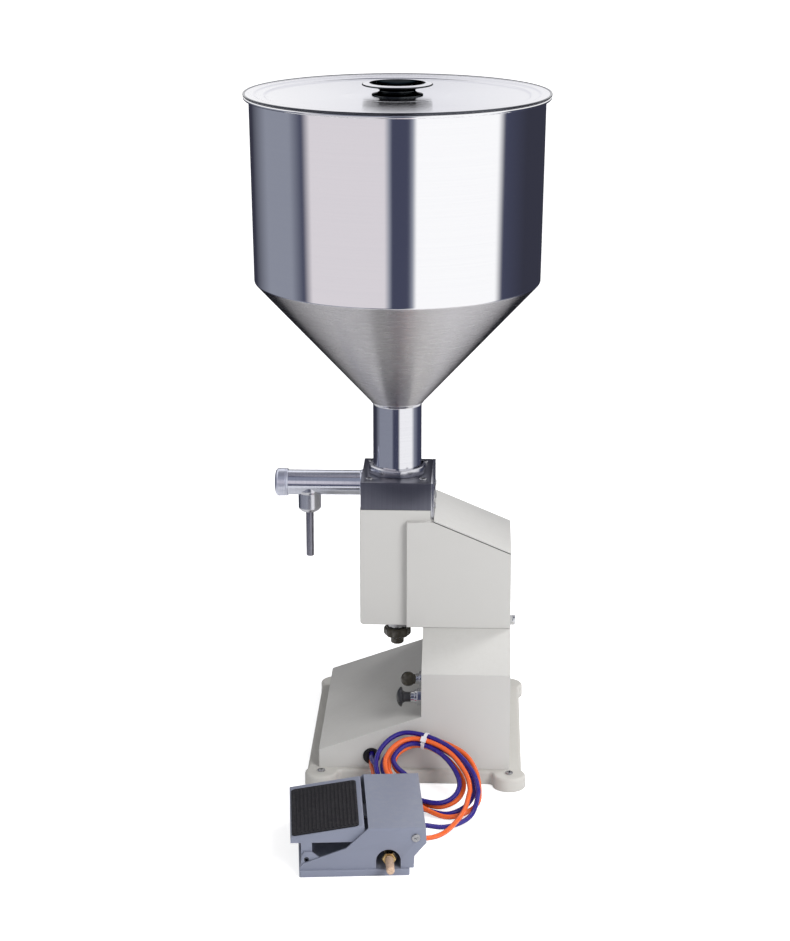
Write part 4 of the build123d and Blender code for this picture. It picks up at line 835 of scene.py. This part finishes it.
TO_VIEWER = (sin(PEDAL_YAW), -cos(PEDAL_YAW), 0)
FROM_VIEWER = (-sin(PEDAL_YAW), cos(PEDAL_YAW), 0)
block_head = screw_head("block_head", 4.2, 1.8)
plate_head = screw_head("plate_head", 3.4, 1.4)
pan_head = screw_head("pan_head", 4.0, 1.8, cross=True)
cover_head = screw_head("cover_head", 4.3, 1.5, cross=True)
top_places = [(x, y, 301.0) for x in (-28, 28) for y in (-33, 33)]
plate_places = [(39.5, y, z) for y in (-19, 19) for z in (269, 283)]
pad_places = [(x, y, 14.0) for x in (-74, 120) for y in (-128, 128)]
block_screws = welded(
    "block_screw_heads",
    screws("top_heads", top_places, block_head, (0, 0, 1), 5),
    screws("plate_heads", plate_places, plate_head, (1, 0, 0), 8),
)
settle(block_screws, "bright_screws", "block_screws")
pad_screws = screws("pad_screw_heads", pad_places, pan_head, (0, 0, 1), 11)
settle(pad_screws, "bright_screws", "pad_screws")
pedal_screws = welded(
    "pedal_screw_heads",
    screws("near_head", [pedal_point(111.0, 2.5, 37.5)], cover_head, TO_VIEWER, 2),
    screws("far_head", [pedal_point(111.0, 133.5, 37.5)], cover_head, FROM_VIEWER, 4),
)
settle(pedal_screws, "bright_screws", "pedal_screws")
for head in (block_head, plate_head, pan_head, cover_head):
    bpy.data.objects.remove(head)


# Sheet bodies

for node, material, bevel in (
    ("head_housing", MACHINE_PAINT, 0.6), ("side_cover_near", MACHINE_PAINT, 0.5),
    ("side_cover_far", MACHINE_PAINT, 0.5), ("top_cover", MACHINE_PAINT, 0.4),
    ("base_housing", MACHINE_PAINT, 0.7), ("base_plate", SLAB_PAINT, 0.6),
):
    dressed(node, "pale_paint", material, bevel)


def build_seam_shade_strips():
    """Thin black strips in the seams between the sloped cover and the side covers: painted shade for the
    shadow in the gap.
    """
    mesh = bmesh.new()
    for outer, inner in ((-55.3, -49.5), (55.3, 49.5)):
        add_box(mesh, [
            (x, y, z + lift)
            for x, z in ((39.6, 261.4), (119.8, 227.5)) for y in (outer, inner) for lift in (0.1, 0.8)
        ])
    return finish_mesh("seam_gaskets", mesh, BLACK_RUBBER, smooth=False)


settle(build_seam_shade_strips(), "black_rubber")


# Controls

def lobed(turn, radius):
    """Eight soft finger lobes on the volume knob's grip."""
    return 1.0 - 0.10 * (0.5 - 0.5 * cos(8 * turn)) ** 1.5 if radius >= 9.0 else 1.0


turned("volume_grip_skin", "black_plastic", "volume_knob", [
    (4.1, 109), (5.8, 109, 0.4), (7, 110.2, 0.6), (7, 115), (8.6, 117, 1.2), (12.6, 117.6, 1.2),
    (14.6, 120, 1.4), (14.6, 125.6, 1.2), (13.2, 127.6, 0.8), (9.6, 128, 0.5), (4.1, 128),
], BALL_PLASTIC, body="volume_grip", steps=192, wave=lobed)
turned("volume_sleeve", "satin_steel", "volume_knob", [
    (4.1, 128), (7.5, 128), (7.5, 147.6), (9.5, 147.8, 0.3), (9.5, 149.8, 0.4), (4.1, 149.8),
], TURNED_STEEL, body="volume_grip", steps=64)

mode_seat = along((1, 0, 0), (0, -100, 86))
turned("mode_button_skin", "black_plastic", "mode_button", [
    (0, 2.6), (3.6, 2.8, 1.2), (7, 4, 1.6), (9.8, 6, 1.4), (10.6, 7.8, 0.8), (9.4, 8.8, 0.6),
    (7.2, 9, 1), (6, 10.4, 1), (5.2, 12), (5.2, 21.5), (0, 21.5),
], BLACK_PLASTIC, body="mode_push", seat=mode_seat)
turned("mode_collar", "bright_chrome", "mode_valve_body", [
    (5.3, 17.5), (6, 17.6, 0.3), (6, 21.3), (7.2, 21.6, 0.3), (7.2, 24), (9.2, 24.1, 0.4),
    (9.2, 28.8, 0.4), (5.3, 28.9),
], CHROME, seat=mode_seat, wave=flats(8.4, 0.9, 0.06))

speed_seat = along((1, 0, 0), (0, -49, 86))
turned("speed_ball", "black_plastic", "speed_knob", [
    (0, 5.2), (2.2, 5.5, 1), (4.7, 6.7, 1.2), (6.7, 8.7, 1.2), (7.8, 11.4, 1.2), (7.8, 14.6, 1.2),
    (6.9, 17.4, 1), (5.2, 19.2, 0.6), (5.2, 21, 0.2), (3, 21), (3, 33), (0, 33),
], BALL_PLASTIC, body="speed_grip", seat=speed_seat)
turned("speed_collar", "bright_chrome", "speed_valve_body", [
    (3.1, 21.5), (5.6, 21.6, 0.3), (5.6, 25), (8, 25.1, 0.4), (8, 28.8, 0.3), (3.1, 28.9),
], CHROME, seat=speed_seat)

dressed("hose_grommet", "black_rubber", BLACK_RUBBER, 0.5)
dressed("air_inlet", "brass", CHROME, 0.3)
dressed("spindle_bush", "satin_steel", TURNED_STEEL, 0.4)

# Foot valve

dressed("pedal_base", "pedal_paint", PEDAL_PAINT, 0.5)
dressed("pedal_cover", "pedal_paint", PEDAL_PAINT, 0.7)
dressed("treadle", "pedal_paint", PEDAL_PAINT, 0.7, body="foot_treadle")

TREADLE_HEEL = (-8.0, 37.4)
TREADLE_TOE = (62.5, 47.9)
PAD_NEAR = 10.5
PAD_FAR = 117.5
PAD_LOW = -6.5
PAD_HIGH = 57.5
PAD_CORNER = 4.0
RIBS = 17
FIRST_RIB = -4.6
LAST_RIB = 55.6
RIB_END = 2.2
RIB_SINK = 1.1


def treadle_top(u):
    """Height of the treadle's plate at u, in mm."""
    share = (u - TREADLE_HEEL[0]) / (TREADLE_TOE[0] - TREADLE_HEEL[0])
    return TREADLE_HEEL[1] + share * (TREADLE_TOE[1] - TREADLE_HEEL[1])


def build_rib_tree():
    """Ribs at even steps along one line, with a seeded trace of unevenness in their height."""
    tree, given, result = start_tree(
        "lay_ribs",
        {"Geometry": "Geometry", "Rib": "Object", "Count": 30, "Start": "Vector", "Step": "Vector",
         "Lean": "Rotation", "Finish": "Material", "Seed": 1},
        {"Geometry": "Geometry"}, "GeometryNodeTree",
    )
    row = add(tree, "GeometryNodeMeshLine", mode="OFFSET", Count=given["Count"],
              Start_Location=given["Start"], Offset=given["Step"])
    rib = add(tree, "GeometryNodeObjectInfo", Object=given["Rib"])
    uneven = add(tree, "FunctionNodeRandomValue", (1.0, 1.0, 0.86), (1.0, 1.0, 1.0),
                 data_type="FLOAT_VECTOR", Seed=given["Seed"])
    laying = add(tree, "GeometryNodeInstanceOnPoints", Points=row.outputs["Mesh"],
                 Instance=rib.outputs["Geometry"], Rotation=given["Lean"], Scale=uneven.outputs[0])
    together = add(tree, "GeometryNodeJoinGeometry", laying.outputs["Instances"])
    feed(tree, together.inputs["Geometry"], given["Geometry"])
    return finish_tree(tree, given, result, together.outputs["Geometry"])


def rounded_bar(name, length, width, height, ends):
    """A bar along Y whose top is rounded and whose ends slope, in mm, standing on Z."""
    mesh = bmesh.new()
    section = [(-0.5, 0), (-0.42, 0.6), (-0.25, 0.92), (0, 1), (0.25, 0.92), (0.42, 0.6), (0.5, 0)]
    rings = [
        points(mesh, [(x * width, y, z * height * share) for x, z in section])
        for y, share in ((0, 0.25), (ends, 1), (length - ends, 1), (length, 0.25))
    ]
    bridge(mesh, rings, capped=True)
    return finish_mesh(name, mesh, smooth=False)


def build_treadle_pad():
    """A thin rubber sheet with rounded corners and fine ribs from front to back."""
    mesh = bmesh.new()
    loop = []
    low, high = PAD_LOW + PAD_CORNER, PAD_HIGH - PAD_CORNER
    near, far = PAD_NEAR + PAD_CORNER, PAD_FAR - PAD_CORNER
    centres = ((high, far, 0), (low, far, 90), (low, near, 180), (high, near, 270))
    for centre_u, centre_v, start in centres:
        for step in range(7):
            turn = radians(start + 15 * step)
            loop.append((centre_u + PAD_CORNER * cos(turn), centre_v + PAD_CORNER * sin(turn)))
    middle_u, middle_v = (PAD_LOW + PAD_HIGH) / 2, (PAD_NEAR + PAD_FAR) / 2
    rings = []
    for inset, lift in ((0, 0), (0, 0.9), (0.4, 1.2), (1, 1.25)):
        spots = []
        for u, v in loop:
            pull = Vector((u - middle_u, v - middle_v)).normalized() * inset
            u, v = u - pull.x, v - pull.y
            spots.append(pedal_point(u, v, treadle_top(u) + lift))
        rings.append(points(mesh, spots))
    bridge(mesh, rings, capped=True)
    pad = finish_mesh("treadle_pad_skin", mesh, BLACK_RUBBER, smooth=False)
    start, following = (
        Vector(pedal_point(u, PAD_NEAR + RIB_END, treadle_top(u) + RIB_SINK)) * MM
        for u in (FIRST_RIB, FIRST_RIB + (LAST_RIB - FIRST_RIB) / (RIBS - 1))
    )
    rise = treadle_top(1) - treadle_top(0)
    lean = Matrix.Rotation(PEDAL_YAW, 4, "Z") @ Matrix.Rotation(-atan(rise), 4, "Y")
    rib = rounded_bar("pad_rib", PAD_FAR - PAD_NEAR - 2 * RIB_END, 2.3, 0.9, 1.0)
    grown(pad, build_rib_tree(), Rib=rib, Count=RIBS, Start=start, Step=following - start,
          Lean=lean.to_euler(), Finish=BLACK_RUBBER, Seed=21)
    bpy.data.objects.remove(rib)
    return pad


settle(build_treadle_pad(), "black_rubber", "treadle_pad", body="foot_treadle")

silencer_seat = along(TO_VIEWER, pedal_point(85.8, 0, 14.0))
NUT_FOOT = -4.7 * MM


def bronze_by_place(centre):
    """The nut is machined brass and the nose is pressed bronze."""
    return 0 if (silencer_seat.inverted() @ centre).z > NUT_FOOT else 1


turned("silencer_skin", "brass", "silencer", [
    (0, -40), (4.6, -40), (4.6, -12), (6.6, -12, 0.3), (7, -11.4, 0.3), (7, -6.6, 0.3), (6.6, -6, 0.3),
    (4.4, -6), (4.3, -5, 0.3), (4, -4.4), (4, 19.2, 1.4), (2.9, 20.8, 0.8), (0, 21),
], SINTERED_BRASS, PLAIN_BRASS, seat=silencer_seat, wave=flats(5.5), index_of=bronze_by_place)

# Hoses: each is one line of tube from the grommet through three turns of the tied coil to its fitting

COIL_PLACE = Vector((36.0, -167.5, 30.5))
COIL_LEAN = radians(31)
COIL_UP = Vector((0, cos(COIL_LEAN), sin(COIL_LEAN)))
COIL_OUT = Vector((0, -sin(COIL_LEAN), cos(COIL_LEAN)))
COIL_SKEW = radians(-42)
TURN_R = 35.5
RING_SWAY = 12
RING_SHIFT = (-1, -2)
TURN_PACE = 22.0


def on_coil(a, b, out):
    """A point of the coil's plane, and how far it stands out from it, in mm."""
    return COIL_PLACE + Vector((a, 0, 0)) + COIL_UP * b + COIL_OUT * out


def on_ring(degrees, wide, out):
    """A point of the oval ring, wide mm outside its middle line."""
    turn = radians(degrees)
    sway = max(-1.0, min(1.0, 1.6 * cos(turn - COIL_SKEW))) * RING_SWAY
    reach = TURN_R + wide
    return on_coil(RING_SHIFT[0] + sway * cos(COIL_SKEW) + reach * cos(turn),
                   RING_SHIFT[1] + sway * sin(COIL_SKEW) + reach * sin(turn), out)


def turns_of(knots):
    """Points round the ring between knots of (degrees, wide, out), at an even pace."""
    spots = []
    degrees = knots[0][0]
    while degrees > knots[-1][0]:
        for (first, wide_a, out_a), (second, wide_b, out_b) in zip(knots, knots[1:]):
            if first >= degrees > second:
                share = (first - degrees) / (first - second)
                share = share * share * (3 - 2 * share)
                spots.append(on_ring(degrees, wide_a + share * (wide_b - wide_a),
                                     out_a + share * (out_b - out_a)))
        degrees -= TURN_PACE
    spots.append(on_ring(*knots[-1]))
    return spots


GROMMET_X = -22.4
HOSE_R = 2.5


def hose(colour, material, start, lead, knots, tail, fitting):
    """A free hose along a smooth line from the grommet, over points on the coil's plane, through the
    knots of its turns and down its tail to a fitting at v."""
    route = [Vector(spot) for spot in start] + [on_coil(*spot) for spot in lead] + turns_of(knots)
    route += [Vector(spot) for spot in tail]
    route += [Vector(pedal_point(u, fitting, 15.0)) for u in (110.0, 103.0)]
    name = colour + "_hose"
    data = bpy.data.curves.new(name, "CURVE")
    data.dimensions = "3D"
    line = data.splines.new("NURBS")
    line.points.add(len(route) - 1)
    for point, spot in zip(line.points, route):
        point.co = (*(spot * MM), 1.0)
    line.order_u = 3
    line.use_endpoint_u = True
    line.resolution_u = 5
    data.bevel_depth = HOSE_R * MM
    data.bevel_resolution = 5
    data.use_fill_caps = True
    data.materials.append(material)
    piece = new_object(name, data)
    settle(piece, name, f"hose_{colour}_lead", "hose_coil", f"hose_{colour}_tail")


hose(
    "blue", BLUE_TUBE,
    start=[(GROMMET_X, -114.5, 29.9), (GROMMET_X, -123.0, 30.0), (-22.05, -134, 30)],
    lead=[
        (-51.5, 15.25, -12), (-50, -1.75, -12), (-47.25, -17.25, -11.5), (-38.5, -28.25, -11.25),
        (-27.25, -30.25, -10.5), (-17, -23.5, -9.75), (-14.25, -10.75, -7.75), (-19.75, 0.5, -6.25),
        (-29.75, 6.5, -3.5),
    ],
    knots=[
    (162, -8.25, 1), (108, -5.25, 1.5), (80, -5, 0.75), (48, -6, 0.5), (14, -10.75, 0.25),
    (-11, -8.75, 0.5), (-54, -6.5, 0.5), (-98, -7, 0.75), (-150, -1.75, -3.5), (-200, 2.5, -6.25),
    (-280, 2.25, -5.3), (-340, 4.75, -5.5), (-396, 8.25, -3.25), (-423, 7.75, -2.5),
    (-456, -1.25, -4.75), (-495, 4.25, -3), (-530, 7.5, 1.5), (-574, 8.5, 2.25), (-602, 10.5, 3),
    (-640, 3.25, 4.55), (-668, 4, 5), (-702, 4, 4.75), (-724, 7, 5.25), (-742, 12.5, 5.75),
    ],
    tail=[
        (86.25, -205.5, 10.6), (80.75, -223, 6.4), (66.5, -239, 5.5), (52.25, -248, 6.75),
        (36.75, -256, 13),
    ],
    fitting=82.0,
)
hose(
    "orange", ORANGE_TUBE,
    start=[(GROMMET_X, -114.5, 24.5), (GROMMET_X, -123.0, 24.4), (-22.2, -133.25, 23.1)],
    lead=[
        (-55, 12.75, -19), (-54, -1, -18), (-50.25, -14.75, -17.25), (-41.25, -25.75, -16.25),
        (-29.75, -27.5, -16), (-19.75, -21.5, -16), (-16.5, -9.5, -15.75), (-20.75, 2, -14.25),
        (-30.5, 8.75, -11),
    ],
    knots=[
    (160, -9, -8), (138, -6, -5.5), (116, -5.5, -4.25), (80, -2.5, -3.85), (40, -4, -4.5),
    (14, -5.25, -5), (-29, -4.5, -5.75), (-76, -6.25, -5.75), (-96, -7.75, -6.25), (-150, -7.75, -4),
    (-177, -6.25, -3), (-223, -2.75, -2), (-248, 0.25, -0.25), (-280, 4.75, -0.5), (-300, 8.5, -0.5),
    (-324, 13, -1), (-352, 9.5, -1.25), (-370, 10.75, -1.5), (-393, 17.75, -1.5), (-430, 12.75, 0.25),
    (-454, 2.5, -0.25), (-500, -2.25, 3), (-527, -1.75, 5.25), (-571, -2.25, 5.5), (-613, -1.5, 5.35),
    (-640, -2.75, 5), (-670, -0.25, 4.5), (-693, -2.5, 3.75), (-719, -0.75, 4.5), (-743, 3.75, 5),
    ],
    tail=[
        (77.75, -202.25, 15.25), (75, -219.5, 12), (67, -241.75, 10.1), (57.75, -264.25, 10.05),
        (48, -279.5, 11.5), (36.5, -289, 14),
    ],
    fitting=46.0,
)


def build_cable_tie():
    """A nylon band pulled round the hoses, with its toothed head and a cut end."""
    mesh = bmesh.new()
    middle = on_ring(80, -0.5, 0.0)
    ahead = (on_ring(74, -0.5, 0.0) - on_ring(86, -0.5, 0.0)).normalized()
    wide = ahead.cross(COIL_OUT).normalized()

    def round_band(turn):
        return wide * cos(turn) + COIL_OUT * sin(turn)

    rings = [
        points(mesh, [middle + ahead * half + round_band(turn) * reach for turn in turns(48)])
        for half, reach in ((-1.8, 8.05), (-1.8, 9.0), (1.8, 9.0), (1.8, 8.05))
    ]
    bridge(mesh, rings, closed=True)
    for degrees, length, width, height, reach in ((62, 5.4, 5.6, 4.0, 9.9), (40, 2.4, 1.0, 6.0, 11.6)):
        radial = round_band(radians(degrees))
        side = round_band(radians(degrees + 90))
        add_box(mesh, [
            middle + radial * (reach + k * height) + ahead * i * length + side * j * width
            for i in (-0.5, 0.5) for j in (-0.5, 0.5) for k in (-0.5, 0.5)
        ])
    piece = finish_mesh("cable_tie_skin", mesh, WHITE_NYLON, smooth=False)
    soft = piece.modifiers.new("soft_edges", "BEVEL")
    soft.width = 0.25 * MM
    soft.segments = 3
    soft.limit_method = "ANGLE"
    return piece


settle(build_cable_tie(), "white_plastic", "cable_tie")

# Springs: each copy rides whole with its valve's body

def squashed_spring(node, body):
    """A copy of a packed spring in spring steel, which stands for the node and rides with a body."""
    piece = new_object(node + "_skin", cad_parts[node].data.copy())
    piece.data.materials.clear()
    piece.data.materials.append(SPRING_STEEL)
    settle(piece, "spring_steel", node, body=body)
    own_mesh(piece)


squashed_spring("suction_spring", "suction_check")
squashed_spring("discharge_spring", "discharge_check")
squashed_spring("pedal_spring", "foot_plunger")

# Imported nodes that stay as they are

KEPT = {
    BORE_METAL: ("product_cylinder", "air_cylinder_tube", "air_cylinder_caps", "crosshead",
                 "valve_guides", "pedal_valve_body"),
    TURNED_STEEL: ("product_piston", "air_piston", "piston_rod", "air_rod", "volume_spindle",
                   "suction_valve", "discharge_poppet", "pedal_plunger"),
    RIM_STEEL: ("pedal_pivot_pin",),
    SEAL_RUBBER: ("piston_seals", "rubber_pads"),
    PLAIN_BRASS: ("hose_fittings",),
}
for material, nodes in KEPT.items():
    for node in nodes:
        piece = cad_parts[node]
        if piece.material_slots:
            for slot in piece.material_slots:
                slot.material = material
        else:
            piece.data.materials.append(material)
